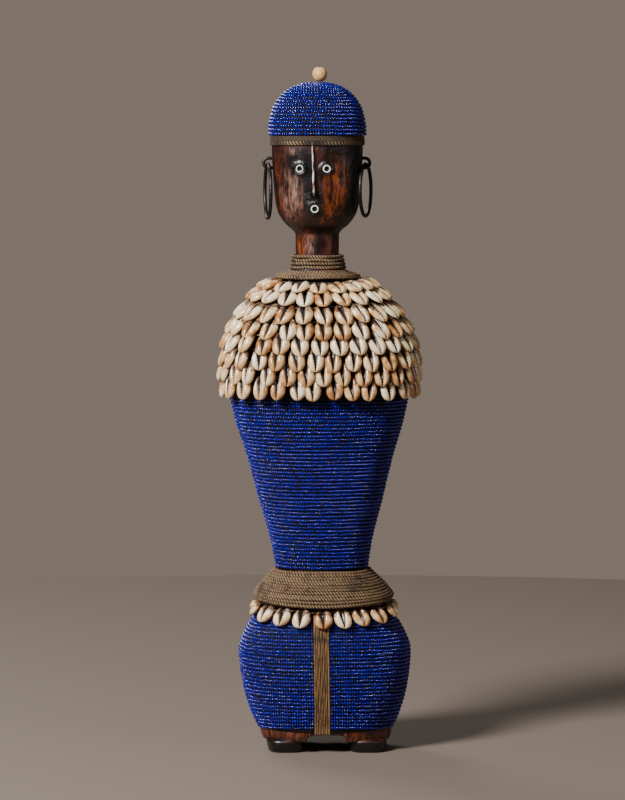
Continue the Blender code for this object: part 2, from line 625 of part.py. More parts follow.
def skirt_shells():
    fall = FallLine(hip_stations())
    root = SHELL_ROOT_LIFT + SHELL_SEAM
    tips = (root + SKIRT_SHELL_LENGTH,) * 2
    shell_band("skirt_cowries", fall, SKIRT_SHELLS, 0.0, tips, SKIRT_SHELL_LENGTH, root, SKIRT_TIP_LIFT)


def main():
    clear_scene()
    cutters = [
        ring_bead("right_eye_bead", EYE_LEVEL, -EYE_SPREAD),
        ring_bead("left_eye_bead", EYE_LEVEL, EYE_SPREAD),
        ring_bead("mouth_bead", MOUTH_LEVEL, 0.0),
        *earring("left"),
        *earring("right"),
    ]
    carved_figure(cutters)
    for side_name in ("left", "right"):
        leg_beadwork(side_name)
    strip("front_strip", -1)
    strip("back_strip", 1)
    skirt_shells()
    sleeve("cord_skirt", skirt_stations(), CORD_LAYER, "cord")
    sleeve("torso_beadwork", torso_stations(), BEAD_LAYER, "blue_beads")
    sleeve("shell_backing", cloth_stations(), CLOTH_LAYER, "cloth")
    mantle_shells()
    neck_cord()
    headband()
    beaded_cap()
    cap_bead()


main()
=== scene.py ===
import math

import bpy
import numpy as np
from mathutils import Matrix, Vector


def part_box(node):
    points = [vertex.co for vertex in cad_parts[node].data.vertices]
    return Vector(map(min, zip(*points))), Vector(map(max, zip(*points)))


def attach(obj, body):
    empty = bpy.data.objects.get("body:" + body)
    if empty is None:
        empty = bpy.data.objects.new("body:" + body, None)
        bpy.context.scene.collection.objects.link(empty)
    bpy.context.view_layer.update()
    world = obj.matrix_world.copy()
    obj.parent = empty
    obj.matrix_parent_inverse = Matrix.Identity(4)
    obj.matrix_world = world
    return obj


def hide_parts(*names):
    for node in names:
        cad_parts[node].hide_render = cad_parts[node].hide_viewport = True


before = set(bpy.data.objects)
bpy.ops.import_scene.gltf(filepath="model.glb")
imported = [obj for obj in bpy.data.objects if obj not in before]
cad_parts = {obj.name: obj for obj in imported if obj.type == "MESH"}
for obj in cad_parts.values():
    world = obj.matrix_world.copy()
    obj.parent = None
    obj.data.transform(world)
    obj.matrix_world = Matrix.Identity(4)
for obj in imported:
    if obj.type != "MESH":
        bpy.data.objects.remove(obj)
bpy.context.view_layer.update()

mm = 0.001
fullTurn = 2 * math.pi
bodyPower = 2.35  # squareness of the body's ovals, 2 is an ellipse


# Colours, nodes and meshes


def linearColour(hexText):
    # sRGB to linear: c / 12.92 below 0.04045, else ((c + 0.055) / 1.055) to the power 2.4
    c = np.array([int(hexText[i:i + 2], 16) / 255 for i in (1, 3, 5)])
    return (*np.where(c <= 0.04045, c / 12.92, ((c + 0.055) / 1.055) ** 2.4), 1.0)


def newMaterial(name):
    made = bpy.data.materials.new(name)
    made.use_nodes = True
    return made, made.node_tree.nodes["Principled BSDF"]


def fill(mat, node, inputs):
    # each input gets a plain value, a hex colour or a link from the socket that feeds it
    for key, value in inputs.items():
        if isinstance(value, bpy.types.NodeSocket):
            mat.node_tree.links.new(value, node.inputs[key])
        else:
            node.inputs[key].default_value = linearColour(value) if isinstance(value, str) else value


def addNode(mat, kind, inputs=None, stops=None, take=None, **settings):
    # one node, and the output to take from it, the first in use if none is named. Settings are its own
    # properties, and stops are a ramp's places with their hex colours or greys
    node = mat.node_tree.nodes.new("ShaderNode" + kind)
    for key, value in settings.items():
        setattr(node, key, value)
    fill(mat, node, inputs or {})
    if stops:
        elements = node.color_ramp.elements
        while len(elements) < len(stops):
            elements.new(0.5)
        for element, (place, colour) in zip(elements, stops):
            element.position = place
            element.color = linearColour(colour) if isinstance(colour, str) else (colour, colour, colour, 1.0)
    return node.outputs[take] if take else next(s for s in node.outputs if s.enabled)


def gridFaces(rows, columns, first=0, closedRows=False):
    # quads of a grid of points that closes round its columns, and each corner's own place, which doesn't wrap
    i = np.arange(rows if closedRows else rows - 1)[:, None]
    j = np.arange(columns)[None, :]
    corners = [(i, j), (i, j + 1), (i + 1, j + 1), (i + 1, j)]
    faces = np.stack([first + (a % rows) * columns + b % columns for a, b in corners], axis=-1)
    places = np.stack([np.stack(np.broadcast_arrays(b, a), axis=-1) for a, b in corners], axis=-2)
    return faces.reshape(-1, 4), places.reshape(-1, 4, 2).astype(float)


def endFans(rows, columns):
    # triangles from a grid's first and last row to the two poles that follow its points
    count = rows * columns
    k = np.arange(columns)
    nextK = (k + 1) % columns
    low = np.stack([nextK, k, np.full(columns, count)], axis=-1)
    high = np.stack([count - columns + k, count - columns + nextK, np.full(columns, count + 1)], axis=-1)
    return np.concatenate([low, high])


def makePiece(name, points, faceSets, material, nodes=(), attributes=None, corners=None):
    # a mesh from whole arrays: points (n, 3) in metres, face sets of equal size, values for each point
    mesh = bpy.data.meshes.new(name)
    indices = np.concatenate([f.ravel() for f in faceSets]).astype(np.int32)
    sizes = np.concatenate([np.full(len(f), f.shape[1]) for f in faceSets])
    starts = np.concatenate([[0], np.cumsum(sizes)[:-1]]).astype(np.int32)
    mesh.vertices.add(len(points))
    mesh.vertices.foreach_set("co", np.asarray(points, np.float32).ravel())
    mesh.loops.add(len(indices))
    mesh.loops.foreach_set("vertex_index", indices)
    mesh.polygons.add(len(sizes))
    mesh.polygons.foreach_set("loop_start", starts)
    mesh.update(calc_edges=True)
    mesh.shade_smooth()
    for key, values in (attributes or {}).items():
        mesh.attributes.new(key, "FLOAT", "POINT").data.foreach_set("value", np.asarray(values, np.float32))
    if corners is not None:
        mesh.uv_layers.new(name="UVMap").data.foreach_set("uv", np.asarray(corners, np.float32).ravel())
    mesh.materials.append(material)
    piece = bpy.data.objects.new(name, mesh)
    bpy.context.scene.collection.objects.link(piece)
    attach(piece, "root")
    if nodes:
        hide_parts(*nodes)


# Forms that follow the frame


def unit(vectors):
    return vectors / np.linalg.norm(vectors, axis=-1, keepdims=True)


def oval(halfWidth, halfDepth, turn, power=bodyPower):
    # superellipse: (cos t, sin t) over (|cos t|^p + |sin t|^p)^(1/p), stretched to the half sizes
    cos, sin = np.cos(turn), np.sin(turn)
    size = (np.abs(cos) ** power + np.abs(sin) ** power) ** (-1 / power)
    return np.stack([halfWidth * size * cos, halfDepth * size * sin], axis=-1)


def profileOf(node):
    # rows of level, middle, half width and half depth, one for each ring of a dozen points or more in the solid
    fewest = 12
    co = np.array([v.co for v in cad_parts[node].data.vertices])
    levels = np.round(co[:, 2], 5)
    rings = [(z, co[levels == z]) for z in np.unique(levels)]
    return np.array([
        (z, (r[:, 0].max() + r[:, 0].min()) / 2, np.ptp(r[:, 0]) / 2, np.ptp(r[:, 1]) / 2)
        for z, r in rings if len(np.unique(np.round(r, 5), axis=0)) >= fewest
    ])


def smoothRows(table, at):
    # Hermite curve through the rows, its slopes the harmonic mean of the two sides, so it never overshoots
    x, y = table[:, 0], table[:, 1:]
    rise = np.diff(y, axis=0) / np.diff(x)[:, None]
    slope = np.zeros_like(y)
    same = rise[1:] * rise[:-1] > 0
    slope[1:-1] = np.where(same, 2 * rise[1:] * rise[:-1] / np.where(same, rise[1:] + rise[:-1], 1), 0)
    slope[0], slope[-1] = rise[0], rise[-1]
    at = np.clip(np.atleast_1d(at), x[0], x[-1])
    i = np.clip(np.searchsorted(x, at) - 1, 0, len(x) - 2)
    step = (x[i + 1] - x[i])[:, None]
    t = (at - x[i])[:, None] / step
    start = (2 * t**3 - 3 * t**2 + 1) * y[i] + (t**3 - 2 * t**2 + t) * step * slope[i]
    return start + (3 * t**2 - 2 * t**3) * y[i + 1] + (t**3 - t**2) * step * slope[i + 1]


class FallLine:
    # a surface of ovals, walked from its top: down is the distance along it, turn is the way round
    def __init__(self, table):
        self.levels = np.linspace(table[-1, 0], table[0, 0], 241)
        self.sizes = smoothRows(table, self.levels)
        steps = np.diff(self.levels) ** 2 + np.mean(np.diff(self.sizes[:, 1:], axis=0) ** 2, axis=1)
        self.run = np.concatenate([[0.0], np.cumsum(np.sqrt(steps))])
        self.length = self.run[-1]

    def sizesAt(self, down):
        return [np.interp(down, self.run, self.sizes[:, i]) for i in range(3)]

    def levelAt(self, down):
        return np.interp(down, self.run, self.levels)

    def downAt(self, level):
        return np.interp(-level, -self.levels, self.run)

    def point(self, turn, down):
        middle, width, depth = self.sizesAt(down)
        flat = oval(width, depth, turn)
        level = np.broadcast_to(self.levelAt(down), np.shape(turn))
        return np.stack([middle + flat[..., 0], flat[..., 1], level], axis=-1)

    def axes(self, turn, down):
        # unit vectors round, down and outward, from small steps along the surface
        turnStep, downStep = 0.004, 0.3 * mm
        round_ = unit(self.point(turn + turnStep, down) - self.point(turn - turnStep, down))
        fall = unit(self.point(turn, down + downStep) - self.point(turn, down - downStep))
        return round_, fall, unit(np.cross(fall, round_))


def evenTurns(sizes, count, start=0.0, end=fullTurn, phase=0.5):
    # turns that divide an oval, or the stretch of it between two turns, into equal lengths
    fine = np.linspace(start, end, 721)
    steps = np.linalg.norm(np.diff(oval(sizes[1], sizes[2], fine), axis=0), axis=1)
    run = np.concatenate([[0.0], np.cumsum(steps)])
    return np.interp((np.arange(count) + phase) / count * run[-1], run, fine), run[-1]


def sleeve(name, table, inset, thickness, nodes=()):
    # a smooth closed layer of dark cloth: the fall surface pushed in by inset, and its inner side further in
    columns, rows = 120, 60
    fall = FallLine(table)
    downs = np.linspace(0, fall.length, rows)
    down, turn = np.meshgrid(downs, np.arange(columns) / columns * fullTurn, indexing="ij")
    points, out = fall.point(turn, down), fall.axes(turn, down)[2]
    outer, inner = points - out * inset, points - out * (inset + thickness)
    grid = np.concatenate([outer, inner[::-1]])
    faces, _ = gridFaces(2 * rows, columns, closedRows=True)
    makePiece(name, grid.reshape(-1, 3), [faces[:, ::-1]], lining, nodes)


def wave(values, seed, amount, longest):
    # slow wander round a closed row: five sine waves of random phase, from 1 to longest times round
    random = np.random.default_rng(seed)
    counts = random.integers(1, longest + 1, 5)
    phases, heights = random.uniform(0, fullTurn, 5), random.uniform(0.3, 1.0, 5)
    return amount / 2 * np.sum([h * np.sin(n * values + p) for n, p, h in zip(counts, phases, heights)], axis=0)


def stampBeads(name, node, rowsOfBeads, seed):
    # one barrel for each place: three rings of six points along the thread, half as wide at the ends
    along, across, sides, poles = np.array([-0.5, 0.0, 0.5]), np.array([0.5, 1.0, 0.5]), 6, np.array([-0.44, 0.44])
    centre, thread, out, length, radius = (np.concatenate([row[i] for row in rowsOfBeads]) for i in range(5))
    random = np.random.default_rng(seed)
    count, each = len(centre), len(along) * sides + len(poles)
    angle = (np.arange(sides) / sides * fullTurn)[:, None]
    circle = np.cos(angle) * out[:, None] + np.sin(angle) * np.cross(thread, out)[:, None]
    rings = circle[:, None] * (across[:, None, None] * radius[:, None, None, None])
    points = centre[:, None, None] + rings + (along * length[:, None])[..., None, None] * thread[:, None, None]
    ends = centre[:, None] + poles[:, None] * length[:, None, None] * thread[:, None]
    points = np.concatenate([points.reshape(count, -1, 3), ends], axis=1)
    offset = (np.arange(count) * each)[:, None, None]
    shapes = gridFaces(len(along), sides)[0], endFans(len(along), sides)
    faceSets = [(faces + offset).reshape(-1, faces.shape[1]) for faces in shapes]
    # 1 on the middle ring, 0 on the end rings and poles: the mask of the painted shade at each bead's ends
    gap_shade_mask = np.tile(np.append(np.repeat((0.0, 1.0, 0.0), sides), (0.0, 0.0)), count)
    marks = {"tone": np.repeat(random.uniform(0, 1, count), each), "gap_shade_mask": gap_shade_mask}
    makePiece(name, points.reshape(-1, 3), faceSets, blueBeads, [node], marks)


def beadRow(fall, down, size, seed, start=0.0, end=fullTurn, drift=0.0):
    # one threaded row: barrels end to end along the oval, a little uneven in size and height. Drift bends
    # neighbouring rows together, by the same slow wave
    random = np.random.default_rng(seed)
    sizes = fall.sizesAt(down)
    count = max(int(round(evenTurns(sizes, 1, start, end)[1] / size["pitch"])), 3)
    phase = random.uniform(0.3, 0.7) if end - start >= fullTurn else 0.5
    turn, run = evenTurns(sizes, count, start, end, phase)
    where = down + wave(turn, seed, size["wander"], 9) + drift * wave(turn, 5, 1.0, 3)
    thread, fallWay, out = fall.axes(turn, where)
    radius = size["radius"] * random.uniform(0.88, 1.03, count)
    sunk = size["radius"] * 0.9 + random.uniform(0, 0.2, count) * mm
    centre = fall.point(turn, where) - out * sunk[:, None]
    centre += fallWay * random.normal(0, 0.09 * mm, count)[:, None]
    thread = thread + fallWay * random.normal(0, 0.04, count)[:, None]
    length = np.full(count, run / count) * random.uniform(0.78, 0.9, count)
    return centre, unit(thread), out, length, radius


def twistedCord(path, out, radius, pitch, around=10, closed=True, phase=0.0):
    # a tube along a path, of two plies: its radius is r (0.64 + 0.36 sqrt |cos(angle - twist)|)
    ahead = np.roll(path, -1, axis=0) - np.roll(path, 1, axis=0)
    if not closed:
        ahead[0], ahead[-1] = path[1] - path[0], path[-1] - path[-2]
    tangent = unit(ahead)
    side = unit(np.cross(tangent, out))
    up = np.cross(side, tangent)
    steps = np.linalg.norm(np.roll(path, -1, axis=0) - path, axis=1)
    run = np.concatenate([[0.0], np.cumsum(steps)[:-1]])
    turns = max(round(steps.sum() / pitch), 1) / steps.sum() if closed else 1 / pitch
    angle = np.arange(around) / around * fullTurn
    ridge = np.abs(np.cos(angle[None] - fullTurn * (run * turns)[:, None] - phase))
    reach = radius * (0.64 + 0.36 * np.sqrt(ridge))
    circle = np.cos(angle)[:, None] * up[:, None] + np.sin(angle)[:, None] * side[:, None]
    return path[:, None] + reach[..., None] * circle, ridge


def cordPiece(name, cords, material, nodes=(), seed=3):
    # joins cords into one mesh. Each cord is (points, ridge, closed), and open ends get a cap
    random = np.random.default_rng(seed)
    points, ridges, tones, faceSets, corners, caps = [], [], [], [], [], []
    first = 0
    for grid, ridge, closed in cords:
        rows, around = grid.shape[:2]
        faces, places = gridFaces(rows, around, first, closedRows=closed)
        faceSets.append(faces[:, ::-1])
        corners.append(places[:, ::-1] / (around, 8))
        if not closed:
            caps += [first + np.arange(around), first + (rows - 1) * around + np.arange(around)[::-1]]
        points.append(grid.reshape(-1, 3))
        ridges.append(ridge.ravel())
        tones.append(np.full(rows * around, random.uniform(0, 1)))
        first += rows * around
    if caps:
        faceSets.append(np.array(caps))
        corners.append(np.zeros((len(caps), len(caps[0]), 2)))
    corners = np.concatenate([c.reshape(-1, 2) for c in corners])
    marks = {"ridge": np.concatenate(ridges), "tone": np.concatenate(tones)}
    makePiece(name, np.concatenate(points), faceSets, material, nodes, marks, corners)


# Materials. A pattern's scale is 1 over the size of its marks. Finer real marks, such as pores, single fibres
# and grit below a millimetre, are drawn 1 to 3 mm wide, because a pixel of the render is 0.75 mm


def beadGlassMaterial():
    # pressed opaque cobalt glass: wet points of light, a shade of its own on each bead, painted shade at each bead's
    # ends in the gaps between beads, dust
    mat, shader = newMaterial("cobalt glass seed beads")
    tone = addNode(mat, "Attribute", take="Fac", attribute_name="tone")
    gap_shade_mask = addNode(mat, "Attribute", take="Fac", attribute_name="gap_shade_mask")
    place = addNode(mat, "TexCoord", take="Object")
    patch = addNode(mat, "TexNoise", {"Vector": place, "Scale": 1 / (23.81 * mm), "Detail": 4.0, "Roughness": 0.6})
    speck = addNode(mat, "TexNoise", {"Vector": place, "Scale": 1 / (1.111 * mm), "Detail": 2.0})
    dusty = addNode(mat, "ValToRGB", {"Fac": patch}, [(0.57, 0), (0.72, 1)])
    shade = addNode(
        mat, "ValToRGB", {"Fac": tone}, [(0.0, "#03033e"), (0.4, "#05059c"), (0.93, "#05059c"), (1.0, "#1218c4")]
    )
    # painted shade: each bead darkens towards its ends, where the gaps between beads fall in shade
    light = addNode(mat, "ValToRGB", {"Fac": gap_shade_mask}, [(0.1, 0.06), (0.85, 1)])
    shade = addNode(mat, "Mix", {"Factor": 1.0, "A": shade, "B": light}, data_type="RGBA", blend_type="MULTIPLY")
    dust = addNode(mat, "Math", {0: dusty, 1: speck}, operation="MULTIPLY")
    dust = addNode(mat, "MapRange", {"Value": dust, "To Max": 0.7})
    colour = addNode(mat, "Mix", {"Factor": dust, "A": shade, "B": "#141116"}, data_type="RGBA")
    rough = addNode(mat, "MapRange", {"Value": dust, "To Min": 0.2, "To Max": 0.5})
    fill(mat, shader, {
        "Base Color": colour, "Roughness": rough, "Specular IOR Level": 0.1,
        "Coat Weight": 1.0, "Coat IOR": 1.6, "Coat Roughness": 0.06,
    })
    return mat


def liningMaterial():
    # dark cotton thread and cloth under the beads and shells: nearly black, matt, with a fine weave
    mat, shader = newMaterial("dark cotton backing")
    place = addNode(mat, "TexCoord", take="Object")
    weave = addNode(mat, "TexNoise", {"Vector": place, "Scale": 1 / (0.7143 * mm), "Detail": 2.0})
    colour = addNode(mat, "ValToRGB", {"Fac": weave}, [(0.3, "#050404"), (0.75, "#1a110c")])
    bump = addNode(mat, "Bump", {"Height": weave, "Strength": 0.5, "Distance": 0.3 * mm})
    fill(mat, shader, {"Base Color": colour, "Roughness": 0.9, "Normal": bump})
    return mat


def twineMaterial(name, creaseShadeAndSeam, low, high, rust, stretch=1.0):
    # hand twisted plant fibre: matt, painted shade near black between the plies, pale stray fibres on top, some
    # lengths rusty. Stretch below 1 draws the fibres out upright
    mat, shader = newMaterial(name)
    ridge = addNode(mat, "Attribute", take="Fac", attribute_name="ridge")
    tone = addNode(mat, "Attribute", take="Fac", attribute_name="tone")
    place = addNode(mat, "TexCoord", take="Object")
    patch = addNode(mat, "TexNoise", {"Vector": place, "Scale": 1 / (16.67 * mm), "Detail": 5.0, "Roughness": 0.7})
    run = addNode(mat, "Mapping", {"Vector": place, "Scale": (1.0, 1.0, stretch)})
    strand = addNode(mat, "TexNoise", {"Vector": run, "Scale": 1 / (1.0 * mm), "Detail": 3.0})
    blend = addNode(mat, "Math", {0: patch, 1: strand}, operation="ADD")
    blend = addNode(mat, "MapRange", {"Value": blend, "From Min": 0.8, "From Max": 1.26})
    fibres = addNode(mat, "ValToRGB", {"Fac": blend}, [(0.0, low), (0.55, high), (1.0, high)])
    slight = addNode(mat, "Math", {0: tone, 1: 0.12}, operation="MULTIPLY")
    stained = addNode(mat, "Math", {0: patch, 1: slight}, operation="ADD")
    stained = addNode(mat, "MapRange", {"Value": stained, "From Min": 0.62, "From Max": 0.76, "To Max": 0.85})
    fibres = addNode(mat, "Mix", {"Factor": stained, "A": fibres, "B": rust}, data_type="RGBA")
    # painted shade: where the ridge is low, between plies and threads, the colour goes to the near black one; the
    # strap's sewn seam takes the same dark
    deep = addNode(mat, "ValToRGB", {"Fac": ridge}, [(0.45, 1), (0.95, 0)])
    colour = addNode(mat, "Mix", {"Factor": deep, "A": fibres, "B": creaseShadeAndSeam}, data_type="RGBA")
    bump = addNode(mat, "Bump", {"Height": strand, "Strength": 0.6, "Distance": 0.4 * mm})
    fill(mat, shader, {"Base Color": colour, "Roughness": 0.8, "Normal": bump})
    return mat


def shellMaterial():
    # polished cowrie shell: cream porcelain gloss, peach and brown stains, a slit painted near black as shade,
    # teeth along its lips drawn by painted shade between them, and brown painted shade with specks of dirt at
    # the hidden end, under the row above
    mat, shader = newMaterial("cowrie shell")
    tone = addNode(mat, "Attribute", take="Fac", attribute_name="tone")
    slit = addNode(mat, "Attribute", take="Fac", attribute_name="slit")
    along = addNode(mat, "Attribute", take="Fac", attribute_name="along")
    place = addNode(mat, "TexCoord", take="Object")
    cloud = addNode(mat, "TexNoise", {"Vector": place, "Scale": 1 / (8.333 * mm), "Detail": 4.0, "Roughness": 0.62})
    speck = addNode(mat, "TexNoise", {"Vector": place, "Scale": 1 / (2.381 * mm), "Detail": 3.0})
    shift = addNode(mat, "MapRange", {"Value": tone, "To Min": -0.12, "To Max": 0.16})
    cloud = addNode(mat, "Math", {0: cloud, 1: shift}, operation="ADD")
    colour = addNode(
        mat, "ValToRGB", {"Fac": cloud}, [(0.3, "#9c6232"), (0.43, "#d4a067"), (0.57, "#efcd9c"), (0.74, "#fdeac8")]
    )
    # painted shade: the hidden end, under the row above, turns brown, with specks of dirt in it
    ends = addNode(mat, "MapRange", {"Value": along, "From Min": 0.28, "From Max": 0.62, "To Min": 0.4, "To Max": 0.0})
    dirtAndShade = addNode(mat, "Math", {0: speck, 1: ends}, operation="ADD")
    dirtAndShade = addNode(mat, "MapRange", {"Value": dirtAndShade, "From Min": 0.66, "From Max": 0.86, "To Max": 0.9})
    # painted shade in the grooves between the teeth, which have no relief of their own
    teeth = addNode(mat, "Math", {0: along, 1: 62.0}, operation="MULTIPLY")  # ten teeth along a lip
    teeth = addNode(mat, "Math", {0: teeth}, operation="SINE")
    teeth = addNode(mat, "MapRange", {"Value": teeth, "From Min": -0.6, "From Max": 0.8})
    lips = addNode(mat, "ValToRGB", {"Fac": slit}, [(0.22, 0), (0.5, 1)])
    gaps = addNode(mat, "Math", {0: teeth, 1: lips}, operation="MULTIPLY")
    # painted shade: the inside of the slit near black
    inside = addNode(mat, "ValToRGB", {"Fac": slit}, [(0.5, 0), (0.72, 1)])
    for share, tint in ((dirtAndShade, "#4d2a1b"), (gaps, "#5a301c"), (inside, "#120806")):
        colour = addNode(mat, "Mix", {"Factor": share, "A": colour, "B": tint}, data_type="RGBA")
    rough = addNode(mat, "MapRange", {"Value": slit, "From Min": 0.3, "From Max": 0.6, "To Min": 0.28, "To Max": 1.0})
    bump = addNode(mat, "Bump", {"Height": speck, "Strength": 0.12, "Distance": 0.3 * mm})
    fill(mat, shader, {
        "Base Color": colour, "Roughness": rough, "Normal": bump,
        "IOR": 1.55, "Coat Weight": 0.5, "Coat Roughness": 0.12,
    })
    return mat


def woodMaterial():
    # smoked and oiled hardwood: near black brown with an upright grain and a greasy shine, a worn orange
    # cheek, a painted sheen on the other cheek, the brow and neck, a painted highlight on the nose ridge, tar
    # round the eyes and mouth with painted shade on the head's sides and chin, and feet blackened up to 10 mm
    mat, shader = newMaterial("smoked and oiled hardwood")
    place = addNode(mat, "TexCoord", take="Object")
    level = addNode(mat, "SeparateXYZ", {"Vector": place}, take="Z")
    upright = addNode(mat, "Mapping", {"Vector": place, "Scale": (1.0, 1.0, 0.22)})
    grain, fleck, streak, patch, lumps = (
        addNode(mat, "TexNoise", {"Vector": way, "Scale": 1 / (size * mm), "Detail": detail, "Roughness": roughness})
        for way, size, detail, roughness in (
            (upright, 1.613, 5.0, 0.65), (upright, 3.333, 3.0, 0.6), (upright, 8.333, 4.0, 0.6),
            (place, 20.83, 5.0, 0.65), (place, 2.381, 3.0, 0.5),
        )
    )
    both = addNode(mat, "Math", {0: streak, 1: patch}, operation="ADD")
    both = addNode(mat, "MapRange", {"Value": both, "From Min": 0.78, "From Max": 1.24})
    colour = addNode(
        mat, "ValToRGB", {"Fac": both}, [(0.08, "#080302"), (0.38, "#1d0a06"), (0.68, "#3d170c"), (0.98, "#632a13")]
    )
    mixed = addNode(mat, "Math", {0: fleck, 1: grain}, operation="ADD")
    mixed = addNode(mat, "MapRange", {"Value": mixed, "From Min": 0.8, "From Max": 1.2})
    # warmth is the wood's worn orange; the pale mix is a painted sheen, the near white mix a painted highlight on the
    # nose ridge
    for key, tint, low, high in (
        ("warmth", "#9a4510", 0.12, 1.15), ("painted_sheen", "#97705f", 0.14, 1.15), ("painted_ridge_highlight", "#e0d8d0", 0.08, 0.5),
    ):
        share = addNode(mat, "Attribute", take="Fac", attribute_name=key)
        share = addNode(mat, "Math", {0: mixed, 1: share}, operation="MULTIPLY")
        share = addNode(mat, "MapRange", {"Value": share, "From Min": low, "From Max": high})
        colour = addNode(mat, "Mix", {"Factor": share, "A": colour, "B": tint}, data_type="RGBA")
    # tar round the eyes and mouth, and painted shade on the head's sides, upper right and chin, all mixed to near
    # black
    tar_and_shade = addNode(mat, "Attribute", take="Fac", attribute_name="tar_and_shade")
    tarAndShade = addNode(mat, "Math", {0: tar_and_shade, 1: patch}, operation="MULTIPLY")
    tarAndShade = addNode(mat, "MapRange", {"Value": tarAndShade, "From Min": 0.2, "From Max": 0.48})
    colour = addNode(mat, "Mix", {"Factor": tarAndShade, "A": colour, "B": "#060303"}, data_type="RGBA")
    pores = addNode(mat, "ValToRGB", {"Fac": grain}, [(0.36, 0.3), (0.52, 1)])
    colour = addNode(mat, "Mix", {"Factor": 1.0, "A": colour, "B": pores}, data_type="RGBA", blend_type="MULTIPLY")
    edge = addNode(mat, "Math", {0: patch, 1: 3 * mm}, operation="MULTIPLY")
    edge = addNode(mat, "Math", {0: level, 1: edge}, operation="ADD")
    black = addNode(
        mat, "MapRange", {"Value": edge, "From Min": 9.4 * mm, "From Max": 10.4 * mm, "To Min": 1.0, "To Max": 0.0}
    )
    colour = addNode(mat, "Mix", {"Factor": black, "A": colour, "B": "#060404"}, data_type="RGBA")
    rough = addNode(mat, "MapRange", {"Value": patch, "From Min": 0.3, "From Max": 0.7, "To Min": 0.28, "To Max": 0.5})
    lumps = addNode(mat, "Math", {0: lumps, 1: tarAndShade}, operation="MULTIPLY")
    bump = addNode(mat, "Bump", {"Height": grain, "Strength": 0.35, "Distance": 0.4 * mm})
    bump = addNode(mat, "Bump", {"Height": lumps, "Strength": 0.8, "Distance": 1.2 * mm, "Normal": bump})
    bump = addNode(mat, "Bump", {"Height": patch, "Strength": 0.35, "Distance": 2 * mm, "Normal": bump})
    fill(mat, shader, {
        "Base Color": colour, "Roughness": rough, "Normal": bump, "Coat Weight": 0.08, "Coat Roughness": 0.25,
    })
    return mat


def ironMaterial():
    # hand forged iron wire: near black scale with grey patches and faint rust
    mat, shader = newMaterial("forged iron wire")
    place = addNode(mat, "TexCoord", take="Object")
    scale = addNode(mat, "TexNoise", {"Vector": place, "Scale": 1 / (2.632 * mm), "Detail": 5.0, "Roughness": 0.7})
    colour = addNode(mat, "ValToRGB", {"Fac": scale}, [(0.3, "#1c1918"), (0.55, "#3b3734"), (0.72, "#5a4434")])
    rough = addNode(mat, "MapRange", {"Value": scale, "To Min": 0.28, "To Max": 0.6})
    bump = addNode(mat, "Bump", {"Height": scale, "Strength": 0.4, "Distance": 0.4 * mm})
    fill(mat, shader, {"Base Color": colour, "Metallic": 0.85, "Roughness": rough, "Normal": bump})
    return mat


def whiteGlassMaterial():
    # chalk white pressed glass: milky, glossy, a little grime
    mat, shader = newMaterial("white pressed glass")
    place = addNode(mat, "TexCoord", take="Object")
    grime = addNode(mat, "TexNoise", {"Vector": place, "Scale": 1 / (1.111 * mm), "Detail": 4.0})
    colour = addNode(mat, "ValToRGB", {"Fac": grime}, [(0.3, "#c9bfa9"), (0.5, "#f4f1e8")])
    fill(mat, shader, {"Base Color": colour, "Roughness": 0.25, "IOR": 1.52})
    return mat


def paleWoodMaterial():
    # bare turned softwood bead: warm blond, growth rings across it, satin
    mat, shader = newMaterial("bare turned wood")
    place = addNode(mat, "TexCoord", take="Object")
    tilted = addNode(mat, "Mapping", {"Vector": place, "Rotation": (0.3, 0.5, 0.0)})
    rings = addNode(
        mat, "TexWave", {"Vector": tilted, "Scale": 1 / (3.846 * mm), "Distortion": 3.0, "Detail": 2.0},
        take="Fac", wave_type="BANDS",
    )
    stain = addNode(mat, "TexNoise", {"Vector": place, "Scale": 1 / (3.03 * mm), "Detail": 4.0})
    mixed = addNode(mat, "Mix", {"Factor": 0.5, "A": rings, "B": stain}, data_type="FLOAT")
    colour = addNode(mat, "ValToRGB", {"Fac": mixed}, [(0.25, "#a8703a"), (0.45, "#dca564"), (0.75, "#f2c88c")])
    bump = addNode(mat, "Bump", {"Height": rings, "Strength": 0.15, "Distance": 0.3 * mm})
    fill(mat, shader, {"Base Color": colour, "Roughness": 0.46, "Normal": bump})
    return mat


blueBeads = beadGlassMaterial()
lining = liningMaterial()
# the first colour of each is the painted shade between plies
twine = twineMaterial("twisted plant fibre twine", "#050201", "#3d2716", "#a8855c", "#5f3616")
strapFibre = twineMaterial("plaited raffia strap", "#170e07", "#4a351f", "#8f6f45", "#4d3018")
stripFibre = twineMaterial("pressed bark fibre strip", "#0e0905", "#3a2614", "#8e683a", "#643a1a", 0.07)
shell = shellMaterial()
darkWood = woodMaterial()
iron = ironMaterial()
whiteGlass = whiteGlassMaterial()
paleWood = paleWoodMaterial()
print("materials made")


# Carved figure

